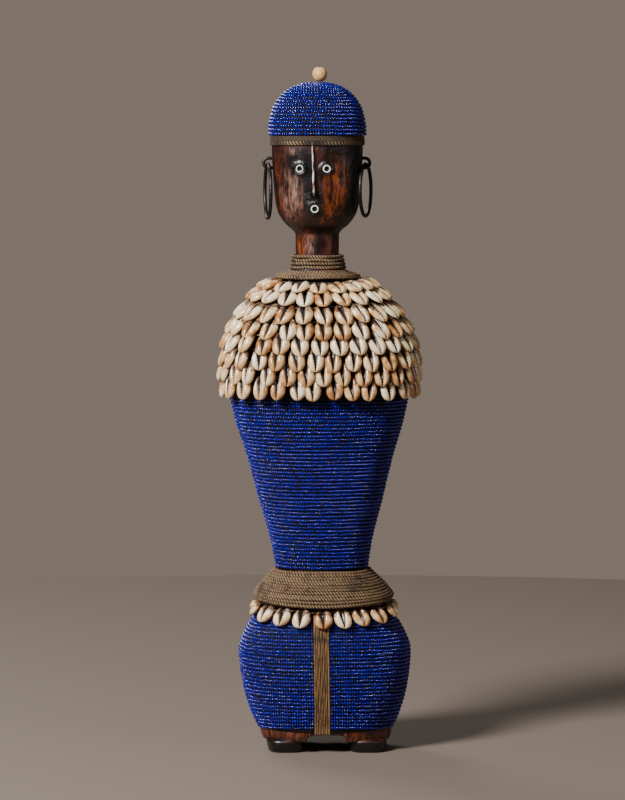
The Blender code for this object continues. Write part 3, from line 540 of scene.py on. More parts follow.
figure = {
    "beadLayer": 3.0 * mm,  # from the wood out to the outside of the beadwork
    "footTop": 8.2 * mm,
    "archTop": 14.0 * mm,
    "archHalfWidth": 14.7 * mm,
    "archPower": 4,
    "legEndTop": 19.0 * mm,
    "legEndInset": 0.6 * mm,  # how much narrower and thinner a leg ends than at its hem
    "hemFlare": 1.5 * mm,  # the wood widens sideways by this just under the beads
    "footHalfWidth": 15.0 * mm,
    "footHalfLength": 28.3 * mm,
    "footSpread": 30.2 * mm,
    "footForward": 3.0 * mm,
    "footPower": 3.2,
    "faceTurn": math.radians(6.0),
    "faceSlant": 1.3 * mm,  # the face's middle line drifts this far sideways from the headband to the mouth
    "noseLength": 37.0 * mm,
    "noseHalfWidth": 2.5 * mm,
    "noseHeights": (1.5 * mm, 4.5 * mm),  # at the headband and at the tip
    "eyeSpread": 9.8 * mm,
    "socket": 3.0 * mm,  # radius and depth of the seat cut for a ring bead
    "socketDepth": 1.3 * mm,
    "resinRing": (4.3 * mm, 1.0 * mm, 0.45 * mm),  # radius, width and height of the ridge round a socket
    "chiselDepth": 0.16 * mm,
    "neckMiddle": 377 * mm,
    "chin": 386 * mm,
}

# patches of the face's colour, in mm: across from its middle line, level, half width, half height. The
# orange cheek is worn colour; the pale cheek and brow are a painted sheen
facePatches = {"orangeCheek": (14, 418, 8.5, 22), "sheenCheek": (-17, 416, 9, 20), "sheenBrow": (-15, 448, 11, 6)}
# the orange neck streak is worn colour, the pale one a painted sheen
neckStreaks = {"orange": (-12.5 * mm, 3 * mm), "pale": (-5.5 * mm, 4 * mm)}  # across and half width

wood = profileOf("carved_figure")
soleMiddle = wood[0, 1]
wood = wood[wood[:, 0] > figure["legEndTop"] - 1 * mm]
hemMiddle = wood[0, 1]
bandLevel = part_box("headband")[0].z
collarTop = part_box("neck_cord")[1].z
eyeLevel, mouthLevel = (sum(c.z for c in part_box(node)) / 2 for node in ("left_eye_bead", "mouth_bead"))


def swayAt(level):
    # middle of the leg ends and feet: a straight line from the hem's middle to the soles'
    return hemMiddle + (soleMiddle - hemMiddle) * (1 - level / wood[0, 0])


def archShare(x):
    # height of the arch under the wood, as a share: (1 - |x / half|^4)^(1/4) between the feet
    gap = np.abs((x - swayAt(figure["footTop"])) / figure["archHalfWidth"]) ** figure["archPower"]
    return np.clip(1 - gap, 0, 1) ** (1 / figure["archPower"])


def slantAt(level):
    # how far the face's middle line has drifted sideways at a level
    return figure["faceSlant"] * (bandLevel - level) / (bandLevel - mouthLevel)


def facePoint(level, across):
    # the point of the head that lies across from the face's middle line, and the way it looks
    middle, width, depth = smoothRows(wood, level)[0]
    turn = math.asin((across + slantAt(level)) / width) - math.pi / 2 - figure["faceTurn"]
    here, near = oval(width, depth, np.array([turn, turn + 0.01]))
    way = unit(near - here)
    return np.array([middle + here[0], here[1], level]), np.array([way[1], -way[0], 0.0])


def patchGap(name, across, levels, lean=0.0):
    # how far a point is from the middle of a patch of finish: 1 on its edge. A patch may lean sideways as it rises
    x, z, width, height = (value * mm for value in facePatches[name])
    rise = levels[:, None] - z
    return np.hypot((across - x - rise * lean) / width, rise / height)


def bell(values, middle, width):
    # exp(-((x - middle) / width)^2)
    return np.exp(-(((values - middle) / width) ** 2))


def ramp(values, start, width):
    # 0 before start, 1 from start + width on
    return np.clip((values - start) / width, 0, 1)


def finishMarks(turn, levels, across, front, slope, down, tar_and_shade):
    # shares of the wood's colours: tar round the eyes and mouth together with painted shade on the head's sides,
    # upper right and chin, in one share; warmth worn to orange; a painted sheen on one cheek, the brow and neck;
    # a painted highlight on the nose ridge
    f = figure
    high = levels[:, None]
    head = high > f["chin"]
    # a dark patch just under the nose tip
    below = np.hypot(across / 1.2, high - (bandLevel - f["noseLength"] - 3 * mm))
    tar_and_shade = np.maximum(tar_and_shade, np.where(front, np.clip(1.6 - below / (6 * mm), 0, 1), 0))
    # painted shade: the upper right of the head and the chin, darker towards +x, the doll's left
    upper = ramp(high, 440 * mm, 9 * mm) * np.clip(0.5 + across / (20 * mm), 0, 1)
    chin = ramp(-high, -400 * mm, 8 * mm) * np.clip(0.7 + across / (20 * mm), 0, 1)
    tar_and_shade = np.maximum(tar_and_shade, np.where(head, np.maximum(upper, chin) * 0.75, 0))
    # painted shade: the head's sides darkened, more on the +x side, and less below the head
    side = np.maximum(
        np.clip((-across - 24 * mm) / (8 * mm), 0, 0.5), np.clip((across - 21 * mm) / (6 * mm), 0, 0.75)
    )
    tar_and_shade = np.maximum(tar_and_shade, np.where(head, side, side * 0.6))
    # the whole back half darkened to at least 0.45
    tar_and_shade = np.maximum(tar_and_shade, np.where(front, 0, 0.45))

    neck = bell(high, f["neckMiddle"], 9 * mm) * front
    warmth = np.where(front, np.clip(1.5 - patchGap("orangeCheek", across, levels, 0.2), 0, 1), 0)
    warmth = np.maximum(warmth, neck * bell(across, *neckStreaks["orange"]))
    legs = ramp(levels, f["footTop"], 2 * mm) * (levels < f["legEndTop"] + 1 * mm)
    warmth = np.maximum(warmth, legs[:, None] * (0.62 + 0.25 * np.sin(turn * 9)))

    # painted sheen: pale patches on one cheek, the brow and the neck, where the key light glances off
    sheenGap = np.minimum(patchGap("sheenCheek", across, levels), patchGap("sheenBrow", across, levels) + 0.55)
    painted_sheen = np.where(front, np.clip(1.4 - sheenGap, 0, 1), 0)
    painted_sheen = np.maximum(painted_sheen, neck * bell(across, *neckStreaks["pale"]))
    # painted highlight: the crest of the nose ridge painted near white
    painted_ridge_highlight = np.where(front, ramp(slope, 0.88, 0.1), 0) * (down > 0) * (down < 1.0)
    return {"tar_and_shade": tar_and_shade, "warmth": warmth, "painted_sheen": painted_sheen, "painted_ridge_highlight": painted_ridge_highlight}


def carveWood():
    # a grid of ovals from the leg ends to the crown. Outward relief: nose ridge, resin rings, chisel facets
    f = figure
    fineTurn = 0.75  # the face's columns are set closer within this turn of its middle line
    fine = np.linspace(-fineTurn, fineTurn, 130)
    coarse = np.linspace(fineTurn, fullTurn - fineTurn, 92)[1:-1]
    turn = np.concatenate([fine, coarse]) - math.pi / 2 - f["faceTurn"]
    hidden = wood[(wood[:, 0] > f["legEndTop"]) & (wood[:, 0] < collarTop - 8 * mm), 0]
    head = np.arange(collarTop - 6 * mm, bandLevel + 1 * mm, 0.62 * mm)
    crown = wood[wood[:, 0] > bandLevel + 2 * mm, 0]
    levels = np.concatenate([np.linspace(f["footTop"], f["legEndTop"], 9), hidden, head, crown])
    sizes = smoothRows(wood, levels)
    bottom = np.array([swayAt(f["footTop"]), *(sizes[0, 1:] - f["legEndInset"])])
    blend = ramp(levels, f["footTop"], f["legEndTop"] - f["footTop"])[:, None]
    sizes = bottom + (sizes - bottom) * np.sin(blend * math.pi / 2)
    sizes[:, 1] += f["hemFlare"] * bell(levels, 14 * mm, 5 * mm)
    flat = oval(sizes[:, 1:2], sizes[:, 2:3], turn[None])
    points = np.dstack([sizes[:, :1] + flat[..., 0], flat[..., 1], np.repeat(levels[:, None], len(turn), 1)])
    slopes = flat / sizes[:, None, 1:] ** 2
    out = unit(np.dstack([slopes, np.zeros(flat.shape[:2])]))

    faceAngle = (turn + math.pi / 2 + f["faceTurn"])[None]
    across = sizes[:, 1:2] * np.sin(faceAngle) - slantAt(levels)[:, None]
    front = np.cos(faceAngle) > 0
    down = ((bandLevel - 0.3 * mm - levels) / f["noseLength"])[:, None]
    width = f["noseHalfWidth"] * np.interp(down, (0, 0.35, 0.75, 0.93, 1.0), (0.62, 0.66, 0.8, 1.0, 1.05))
    low, high = f["noseHeights"]
    height = low + (high - low) * np.interp(down, (0, 0.35, 0.75, 0.95, 1.0), (0, 0.3, 0.75, 1.0, 0.75))
    height = height * np.clip((1.045 - down) / 0.05, 0, 1) * (down > -0.05)
    slope = np.clip((width * 1.15 - np.abs(across)) / (width * 0.95), 0, 1)
    nose = np.where(front, height * (3 * slope**2 - 2 * slope**3), 0)
    points += out * nose[..., None]

    tar_and_shade = np.zeros(flat.shape[:2])
    ringRadius, ringWidth, ringHeight = f["resinRing"]
    for level, place in ((eyeLevel, -f["eyeSpread"]), (eyeLevel, f["eyeSpread"]), (mouthLevel, 0.0)):
        gap = np.where(front, np.hypot(across - place, (levels - level)[:, None]), 1.0)
        points += out * (ringHeight * bell(gap, ringRadius, ringWidth))[..., None]
        points -= out * (f["socketDepth"] * (gap < f["socket"]))[..., None]
        tar_and_shade = np.maximum(tar_and_shade, np.clip(1.9 - gap / (4.4 * mm), 0, 1))
    marks = finishMarks(turn, levels, across, front, slope, down, tar_and_shade)

    facets = np.abs(np.sin(turn * 13 + 1.7 * np.sin(levels[:, None] * 90)))
    facets = facets + np.abs(np.sin(levels[:, None] * 260 + 2 * np.sin(turn * 4)))
    carved = (levels[:, None] > collarTop - 6 * mm) * (slope < 0.01)
    points -= out * (f["chiselDepth"] * carved * (1 - facets / 2))[..., None]

    shoulder = np.clip((f["legEndTop"] - levels) / (f["legEndTop"] - f["footTop"]), 0, 1)[:, None]
    rise = f["archTop"] - f["footTop"]
    points[..., 2] += shoulder * rise * archShare(points[..., 0])

    underRows, middle = 16, swayAt(f["footTop"])
    shares = np.linspace(0.04, 0.96, underRows)[:, None, None]
    under = np.array([middle, 0, 0]) * (1 - shares) + points[0][None] * (shares, shares, 1)[0]
    under[..., 2] = f["footTop"] + rise * archShare(under[..., 0])
    grid = np.concatenate([under, points])
    rows, columns = grid.shape[:2]
    poles = [(middle, 0, f["archTop"]), (sizes[-1, 0], 0, levels[-1] + 0.2 * mm)]
    pad = np.zeros(underRows * columns)
    marks = {key: np.concatenate([pad, values.ravel(), [0, 0]]) for key, values in marks.items()}
    return np.vstack([grid.reshape(-1, 3), poles]), [gridFaces(rows, columns)[0], endFans(rows, columns)], marks


def carveFoot(side):
    # a rounded block: ovals whose size follows a quarter round at the sole and draws in at the top
    f = figure
    level = np.array([0.0, 0.0, 0.35, 1.2, 3.0, 5.5, 7.4, 8.6, 10.0, 11.0]) * mm
    share = np.array([0.3, 0.88, 0.92, 0.945, 0.97, 0.99, 1.0, 1.0, 0.93, 0.5])
    turn = np.arange(56) / 56 * fullTurn
    flat = oval(f["footHalfWidth"] * share[:, None], f["footHalfLength"] * share[:, None], turn[None], f["footPower"])
    bumps = 1 + 0.012 * np.sin(turn * 5 + side) * np.sin(level[:, None] * 400)
    x = swayAt(level)[:, None] + side * f["footSpread"] + flat[..., 0] * bumps
    points = np.dstack([x, flat[..., 1] * bumps - f["footForward"], np.repeat(level[:, None], len(turn), 1)])
    faces, _ = gridFaces(len(level), len(turn))
    last = len(level) * len(turn)
    caps = np.array([np.arange(len(turn))[::-1], np.arange(last - len(turn), last)])
    return points.reshape(-1, 3), [faces, caps]


points, faceSets, marks = carveWood()
for side in (-1, 1):
    footPoints, footFaces = carveFoot(side)
    faceSets += [f + len(points) for f in footFaces]
    points = np.concatenate([points, footPoints])
    marks = {key: np.concatenate([values, np.zeros(len(footPoints))]) for key, values in marks.items()}
makePiece("carved_wood", points, faceSets, darkWood, ["carved_figure"], marks)
print("carved figure made")


# Ring beads, cap bead and iron

sides = {"left": 1, "right": -1}  # the doll's own left is on the picture's right
ringBead = {"radius": 2.95 * mm, "hole": 1.95 * mm, "depth": 2.4 * mm, "sunk": 1.2 * mm}


def turnedPiece(name, profile, base, axis, sides, material, node):
    # a profile of radius and distance turned round an axis, closed through its hole
    axis = unit(np.array(axis, float))
    first = unit(np.cross(axis, (0, 0, 1) if abs(axis[2]) < 0.9 else (1, 0, 0)))
    second = np.cross(axis, first)
    angle = np.arange(sides) / sides * fullTurn
    circle = np.outer(np.cos(angle), first) + np.outer(np.sin(angle), second)
    points = base + profile[:, :1, None] * circle[None] + profile[:, 1:, None] * axis
    faces, _ = gridFaces(len(profile), sides, closedRows=True)
    makePiece(name, points.reshape(-1, 3), [faces], material, [node])


def ringBeads():
    # a tube bent to a ring: an oval section of 14 points between the hole and the outside
    places = {"right_eye_bead": (eyeLevel, -1), "left_eye_bead": (eyeLevel, 1), "mouth_bead": (mouthLevel, 0)}
    angle = np.arange(14) / 14 * fullTurn
    radius, hole, depth, sunk = ringBead.values()
    section = np.column_stack([(radius + hole + (radius - hole) * np.cos(angle)) / 2, depth / 2 * np.sin(angle)])
    for node, (level, side) in places.items():
        base, facing = facePoint(level, side * figure["eyeSpread"])
        centre = base + facing * (depth / 2 - sunk)
        turnedPiece(node + "_glass", section, centre, facing, 36, whiteGlass, node)


def capBead():
    # two thirds of a circle from the hole's rim to its other rim, and back through the hole
    low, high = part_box("cap_bead")
    centre = np.array((low + high) / 2)
    radius, hole = (high.x - low.x) / 2, 1.1 * mm
    rise = np.linspace(-1.17, 1.17, 17)
    outside = np.column_stack([radius * np.cos(rise), radius * np.sin(rise)])
    scale = (high.z - low.z) / 2 / outside[-1, 1]
    outside[:, 1] *= scale
    inner = np.array([(hole, outside[-1, 1] * 0.9), (hole, -outside[-1, 1] * 0.9)])
    profile = np.vstack([outside, inner])
    turnedPiece("turned_cap_bead", profile, centre, (0, 0, 1), 32, paleWood, "cap_bead")


wire = {
    "stapleRadius": 3.6 * mm,
    "stapleWire": 1.25 * mm,
    "stapleLeg": 7.3 * mm,
    "hoopWire": 1.35 * mm,
    "hoopTurns": {"left": 1, "right": -1},
}


def wireTube(path, radius, closed, seed):
    # a round tube of fourteen sides whose radius wanders by a twentieth, as hammered wire does
    out = np.cross(np.roll(path, -1, axis=0) - np.roll(path, 1, axis=0), path.mean(axis=0) - path)
    if not closed:
        out[0], out[-1] = out[1], out[-2]
    points, _ = twistedCord(path, unit(out), radius, 1.0, 14, closed)
    middle = path[:, None]
    wander = 1 + 0.04 * wave(np.linspace(0, fullTurn, len(path)), seed, 1.0, 11)[:, None, None]
    points = middle + unit(points - middle) * radius * np.minimum(wander, 1.0)
    return points, np.ones(points.shape[:2]), closed


def earIron(sideName, side):
    # a staple bent to a half circle with two legs into the head, and a hoop turned a little out of the side view
    low, high = (np.array(c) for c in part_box(f"{sideName}_ear_staple"))
    centre = (low + high) / 2
    outer = high[0] if side > 0 else low[0]
    middle = np.array([outer - side * (wire["stapleRadius"] + wire["stapleWire"]), 0, centre[2]])
    bend = np.linspace(math.pi / 2, -math.pi / 2, 28)
    arc = middle + wire["stapleRadius"] * np.column_stack([side * np.cos(bend), 0 * bend, np.sin(bend)])
    leg = np.linspace(wire["stapleLeg"], 0.3 * mm, 8)[:, None] * (-side, 0, 0)
    path = np.vstack([arc[0] + leg, arc, arc[-1] + leg[::-1]])
    tube = wireTube(path, wire["stapleWire"], False, 5)
    cordPiece(f"{sideName}_iron_staple", [tube], iron, [f"{sideName}_ear_staple"])
    low, high = (np.array(c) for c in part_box(f"{sideName}_hoop_earring"))
    centre, half = (low + high) / 2, (high - low) / 2
    radius = half[2] - wire["hoopWire"]
    lean = wire["hoopTurns"][sideName] * math.asin(max(half[0] - wire["hoopWire"], 0) / radius)
    angle = np.arange(84) / 84 * fullTurn
    heading = np.array([math.sin(lean), math.cos(lean), 0])
    path = centre + radius * (np.outer(np.cos(angle), heading) + np.outer(np.sin(angle), (0, 0, 1)))
    tube = wireTube(path, wire["hoopWire"], True, 9 + side)
    cordPiece(f"{sideName}_iron_hoop", [tube], iron, [f"{sideName}_hoop_earring"])


ringBeads()
capBead()
for sideName, side in sides.items():
    earIron(sideName, side)
print("ring beads, cap bead and iron made")


# Beadwork

beads = {
    "torso": {"pitch": 1.92 * mm, "row": 2.83 * mm, "radius": 1.37 * mm, "wander": 0.2 * mm, "drift": 0.4 * mm},
    "legs": {"pitch": 1.95 * mm, "row": 2.84 * mm, "radius": 1.38 * mm, "wander": 0.25 * mm, "drift": 0.4 * mm},
    "cap": {"pitch": 2.1 * mm, "row": 2.87 * mm, "radius": 1.39 * mm, "wander": 0.2 * mm},
    "capPower": 2.4,
    "stripHalf": 6.1 * mm,  # half of the gap that the strips between the legs take
    "stripShift": -2.4 * mm,
    "hemDrop": 2.8 * mm,  # the lowest rows on the legs sit this much lower at the sides
    "hemInset": (1.6 * mm, 0.4 * mm),  # and are this much narrower and thinner than the layer above
    "backingInset": 1.7 * mm,  # from the outside of the beads in to the cloth they are strung over
    "backing": 0.9 * mm,
}


def legLayer(top=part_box("left_leg_beadwork")[1].z + 0.01 * mm):
    # the wood's rows up to a level, widened by the layer of beads: by itself, up to the top of the legs' beads
    return wood[wood[:, 0] <= top] + np.array([0, 0, figure["beadLayer"], figure["beadLayer"]])


def evenDowns(length, size):
    # rows that divide a length evenly, from one bead's radius in to the same at its end, and their shares of it
    rows = int(round((length - 2 * size["radius"]) / size["row"])) + 1
    share = np.arange(rows) / (rows - 1)
    return size["radius"] + (length - 2 * size["radius"]) * share, share


def beadTorso():
    # even rows down the trunk, in two pieces, with a drift that is strongest half way down
    table = profileOf("torso_beadwork")
    fall = FallLine(table)
    size = beads["torso"]
    downs, share = evenDowns(fall.length, size)
    made = [
        beadRow(fall, down, size, 100 + i, drift=size["drift"] * math.sin(math.pi * s))
        for i, (down, s) in enumerate(zip(downs, share))
    ]
    half = len(made) // 2
    stampBeads("upper_torso_beads", "torso_beadwork", made[:half], 21)
    stampBeads("lower_torso_beads", "torso_beadwork", made[half:], 22)
    sleeve("torso_bead_backing", table, beads["backingInset"], beads["backing"])


def beadLegs():
    # rows run from the front strip round to the back strip, and the lowest follow the hem, which drops at the sides
    table = legLayer()
    table[0] -= np.array([beads["hemDrop"], 0, *beads["hemInset"]])
    fall = FallLine(table)
    size = beads["legs"]
    downs, share = evenDowns(fall.downAt(wood[0, 0]), size)
    for sideName, side in sides.items():
        made = []
        for i, (down, s) in enumerate(zip(downs, share)):
            width = fall.sizesAt(down)[1]
            edge = math.asin((beads["stripHalf"] + side * beads["stripShift"]) / width)
            start = -math.pi / 2 + edge if side > 0 else math.pi / 2 + edge
            drift = size["drift"] * math.sin(math.pi * s)
            row = beadRow(fall, down, size, 300 + i + 50 * side, start, start + math.pi - 2 * edge, drift)
            centre = row[0]
            centre[:, 2] -= s**3 * beads["hemDrop"] * ((centre[:, 0] - hemMiddle) / width) ** 2
            made.append(row)
        stampBeads(f"{sideName}_leg_beads", f"{sideName}_leg_beadwork", made, 30 + side)
    lined = table[table[:, 0] > 15 * mm]
    sleeve("leg_bead_backing", lined, beads["backingInset"], beads["backing"])


def beadCap():
    # rows climb the dome to its pole: size = (1 - r^2.4)^(1 / 2.4) of the rim's, r the share of its height
    low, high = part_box("beaded_cap")
    share = np.sin(np.linspace(0, math.pi / 2, 40))
    size = np.maximum((1 - share**beads["capPower"]) ** (1 / beads["capPower"]), 0.004)
    table = np.column_stack([
        low.z + share * (high.z - low.z), np.full(len(share), (low.x + high.x) / 2),
        size * (high.x - low.x) / 2, size * (high.y - low.y) / 2,
    ])
    fall = FallLine(table)
    size = beads["cap"]
    rows = int(round((fall.length - size["radius"]) / size["row"]))
    downs = np.linspace(2.6 * mm, fall.length - size["radius"], rows)
    made = [beadRow(fall, down, size, 500 + i, drift=0.2 * mm) for i, down in enumerate(downs)]
    stampBeads("cap_beads", "beaded_cap", made, 41)
    lined = table[table[:, 2] > 2 * mm]
    sleeve("cap_bead_backing", lined, 1.6 * mm, 1.0 * mm)


beadTorso()
beadLegs()
beadCap()
print("beadwork made")


# Twine, strap and strips

cordage = {
    "skirt": {"radius": 1.42 * mm, "row": 2.7 * mm, "pitch": 4.6 * mm, "sideRise": 6.0 * mm},
    "neck": {"radius": 1.3 * mm, "row": 2.65 * mm, "pitch": 4.4 * mm, "sideRise": 0.0},
    "step": 0.55 * mm,  # between two sections of a twisted ring
    "coreInset": 1.6 * mm,
    "core": 1.0 * mm,
    "strapPitch": 2.6 * mm,
    "stripCords": (-5.1, -3.4, -1.7, 0.0, 1.7, 3.4, 5.1),  # mm from the strip's middle
}


def ringCord(fall, down, radius, pitch, seed, rise):
    # one twisted ring. Its sides sit higher than its front by rise (1 - |sin turn|)
    sizes = fall.sizesAt(down)
    run = evenTurns(sizes, 1)[1]
    turn, _ = evenTurns(sizes, int(run / cordage["step"]))
    where = down + wave(turn, seed, 0.25 * mm, 6) - rise * (1 - np.abs(np.sin(turn)))
    _, _, out = fall.axes(turn, where)
    path = fall.point(turn, where) - out * radius
    return (*twistedCord(path, out, radius, pitch, around=9, phase=seed), True)


def coilTwine(name, node, size, seed):
    # rings of twine down the solid's fall line, over a dark core that ends above the raised sides
    table = profileOf(node)
    fall = FallLine(table)
    downs, share = evenDowns(fall.length, size)
    rises = size["sideRise"] * share**1.5
    cords = [
        ringCord(fall, down, size["radius"], size["pitch"], seed + i, rise)
        for i, (down, rise) in enumerate(zip(downs, rises))
    ]
    cordPiece(name, cords, twine, [node], seed)
    core = table[table[:, 0] >= table[0, 0] + size["sideRise"]]
    sleeve(f"{name}_core", core, cordage["coreInset"], cordage["core"])


def strapPiece():
    # a woven band: a twisted lower edge |sin| under a flat part with fine threads, and a dark sewn seam
    low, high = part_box("headband")
    table = profileOf("headband")
    columns, rows = 420, 15
    turn, run = evenTurns(table[0, 1:], columns)
    share = np.linspace(0, 1, rows)[:, None]
    count = round(run / cordage["strapPitch"])
    along = np.arange(columns)[None] / columns
    edge = np.clip((0.5 - share) / 0.12, 0, 1)
    twist = np.abs(np.sin(math.pi * count * (along + share * 4 * mm / run)))
    threads = 0.5 + 0.22 * np.sin(share * 34) + 0.1 * np.sin(count * 9 * along + share * 20)
    ridge = edge * twist * (0.75 + 0.35 * np.sin(along * 39 + 1) * np.sin(along * 11)) + (1 - edge) * threads
    seam = bell(turn, 0.98 - math.pi / 2, 0.035)[None]
    ridge = np.clip(ridge * (1 - seam), 0, 1)
    rim = np.clip(np.minimum(share, 1 - share) / 0.12, 0, 1)
    middle, width, depth = table[0, 1:]
    lift = (-0.5 * mm + 0.5 * mm * ridge**0.7) * rim - 0.35 * mm * (1 - rim)
    flat = oval(width + lift, depth + lift, turn[None])
    level = low.z + share * (high.z - low.z) + 0 * turn[None]
    outer = np.dstack([middle + flat[..., 0], flat[..., 1], level])
    flat = oval(width - 1.0 * mm + 0 * lift, depth - 1.0 * mm + 0 * lift, turn[None])  # 1 mm thick
    inner = np.dstack([middle + flat[..., 0], flat[..., 1], level])
    grid = np.concatenate([outer, inner[::-1]])
    faces, places = gridFaces(2 * rows, columns, closedRows=True)
    marks = {"ridge": np.append(ridge, 0 * ridge), "tone": np.full(2 * ridge.size, 0.3)}
    points, corners = grid.reshape(-1, 3), places.reshape(-1, 2) / 8
    makePiece("woven_headband", points, [faces], strapFibre, ["headband"], marks, corners)


def legStrip(name, node, side):
    # upright cords side by side that follow the body's front or back line: two twisted edges, flat fibres between
    low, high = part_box(node)
    table = legLayer(high.z)
    table = np.vstack([[low.z, *table[0, 1:]], table])
    levels = np.arange(low.z + 0.3 * mm, high.z - 0.3 * mm, 0.6 * mm)
    sizes = smoothRows(table, levels)
    cords = []
    for i, place in enumerate(cordage["stripCords"]):
        edge = i in (0, len(cordage["stripCords"]) - 1)
        radius = (0.75 if edge else 1.0) * mm
        x = sizes[:, 0] + beads["stripShift"] + place * mm + wave(levels * 70, i + 7, 0.12 * mm, 3)
        share = np.clip(1 - np.abs((x - sizes[:, 0]) / sizes[:, 1]) ** bodyPower, 0, 1) ** (1 / bodyPower)
        y = side * (sizes[:, 2] * share + (0.4 if edge else 0.25) * mm - radius)
        path = np.column_stack([x, y, levels])
        out = np.tile([0.0, side, 0.0], (len(levels), 1))
        points, ridge = twistedCord(path, out, radius, (3.6 if edge else 40.0) * mm, 8, False, i)
        cords.append((points, 0.75 + 0.25 * ridge if edge else 0.5 + 0.35 * ridge, False))
    cordPiece(name, cords, stripFibre, [node], 70 + side)


coilTwine("skirt_twine", "cord_skirt", cordage["skirt"], 61)
coilTwine("neck_twine", "neck_cord", cordage["neck"], 81)
strapPiece()
legStrip("front_strip_cords", "front_strip", -1)
legStrip("back_strip_cords", "back_strip", 1)
print("twine, strap and strips made")


# Cowrie shells

cowries = {
    "length": 17.5 * mm,
    "firstLength": 14.5 * mm,  # the first row is tucked under the brim of the neck cord
    "halfWidth": 7.4 * mm,
    "thick": 3.9 * mm,
    "rootLift": 1.3 * mm,
    "tipLift": 7.3 * mm,
    "seat": 0.05,  # share of the thickness that lifts a shell's middle
    "counts": (19, 22, 24, 26, 27, 28, 28, 28),
    "sideRise": (2.4, 2.3, 2.3, 2.1, 1.8, 1.5, 0.7, 0.0),  # mm that a row's tips rise at the sides
    "skirtCount": 20,
    "skirtDrop": 1.6 * mm,
    "skirtRise": 10.0 * mm,
    "skirtLength": 16.6 * mm,
    "skirtTipLift": 3.0 * mm,
}


def cowrieForm():
    # one shell as shares, x across, y from hidden end -1 to tip 1, z out. Each of eleven sections has fifteen
    # points: a narrow lip, a slit that is wide at the hidden end and leans over, a fat lip, and the back
    along = np.array([0.015, 0.07, 0.17, 0.3, 0.44, 0.58, 0.71, 0.82, 0.91, 0.965, 0.992])
    reach = np.abs(2 * along - 1)
    wide = (1 - reach**2.15) ** (1 / 2.15) * (0.9 + 0.1 * along)
    thick = (1 - reach**2.4) ** (1 / 2.2)
    centre = -0.3 + 0.4 * along**0.9
    gape = 0.07 + 0.34 * (1 - along) ** 1.15
    left, right, deep = (centre - gape)[:, None], (centre + gape)[:, None], centre[:, None]
    lipLeft, lipRight = left + (-1 - left) * (0.16, 0.5, 0.84, 1.0), right + (1 - right) * (0.14, 0.4, 0.68, 0.9, 1.0)
    under = np.ones((len(along), 1)) * (-0.62, 0.0, 0.62)
    x = np.hstack([lipRight[:, ::-1], right, deep, left, lipLeft, under])
    front = (0.0, 0.5, 0.86, 1.0, 0.94, 0.62, -0.3, 0.56, 0.84, 0.78, 0.42, 0.0)
    z = np.hstack([np.tile(front, (len(along), 1)), np.tile((-0.34, -0.46, -0.34), (len(along), 1))])
    slit = np.array([0, 0, 0, 0, 0.12, 0.58, 1, 0.58, 0.16, 0, 0, 0, 0, 0, 0])
    across = x.shape[1]
    grid = np.dstack([x * wide[:, None], np.repeat(2 * along[:, None] - 1, across, 1), z * thick[:, None]])
    rows = len(along)
    points = np.vstack([grid.reshape(-1, 3), [(0, -1, 0.1), (0, 1, 0.05)]])
    marks = {
        "slit": np.append(np.tile(slit, rows), (0.4, 0.2)),
        "along": np.append(np.repeat(along, across), (0, 1)),
    }
    return points, [gridFaces(rows, across)[0], endFans(rows, across)], marks


form, formFaces, formMarks = cowrieForm()


def sewShells(name, node, fall, count, tipFront, rise, length, tipLift, phase, seed, widest):
    # each shell is the form, hung from its hidden end, lifted at its tip, and a little unlike the next
    random = np.random.default_rng(seed)
    middle = max(tipFront - length * 0.4, 1 * mm)
    turn, _ = evenTurns(fall.sizesAt(middle), count, phase=phase)
    turn = turn + random.normal(0, 0.01, count)
    tip = tipFront - rise * (1 - np.abs(np.sin(turn))) + random.normal(0, 0.3 * mm, count)
    root = np.maximum(tip - length, 0)
    ends = []
    for down, lift in ((root, cowries["rootLift"]), (tip, tipLift)):
        out = fall.axes(turn, down)[2]
        ends.append(fall.point(turn, down) + out * (lift + random.normal(0, 0.12 * mm, count))[:, None])
    yAxis = ends[1] - ends[0]
    half = np.linalg.norm(yAxis, axis=1) / 2 * random.uniform(0.96, 1.0, count)
    yAxis = unit(yAxis)
    across = fall.axes(turn, (tip + root) / 2)[0]
    zAxis = unit(np.cross(yAxis, across))
    yaw, roll = random.normal(0, 0.07, count)[:, None], random.normal(0.02, 0.1, count)[:, None]
    yAxis, across = yAxis * np.cos(yaw) + across * np.sin(yaw), across * np.cos(yaw) - yAxis * np.sin(yaw)
    across, zAxis = across * np.cos(roll) + zAxis * np.sin(roll), zAxis * np.cos(roll) - across * np.sin(roll)
    centre = ends[1] - (ends[1] - ends[0]) / 2 + zAxis * cowries["seat"] * cowries["thick"]
    tipRun = evenTurns(np.array(fall.sizesAt(tipFront)) + (0, tipLift * 0.8, tipLift * 0.8), 1)[1]
    width = min(cowries["halfWidth"], tipRun / count / 2 * widest) * random.uniform(0.95, 1.02, count)
    thick = cowries["thick"] * random.uniform(0.92, 1.05, count)
    local = form[None] * np.stack([width, half, thick], axis=-1)[:, None]
    axes = np.stack([across, yAxis, zAxis], axis=1)
    points = centre[:, None] + np.einsum("nvk,nkc->nvc", local, axes)
    offset = (np.arange(count) * len(form))[:, None, None]
    faceSets = [(faces + offset).reshape(-1, faces.shape[1]) for faces in formFaces]
    marks = {key: np.tile(values, count) for key, values in formMarks.items()}
    marks["tone"] = np.repeat(random.uniform(0, 1, count), len(form))
    makePiece(name, points.reshape(-1, 3), faceSets, shell, [node], marks)
    return ringThread(fall, max(tipFront - length * 0.86, 1.5 * mm), seed)


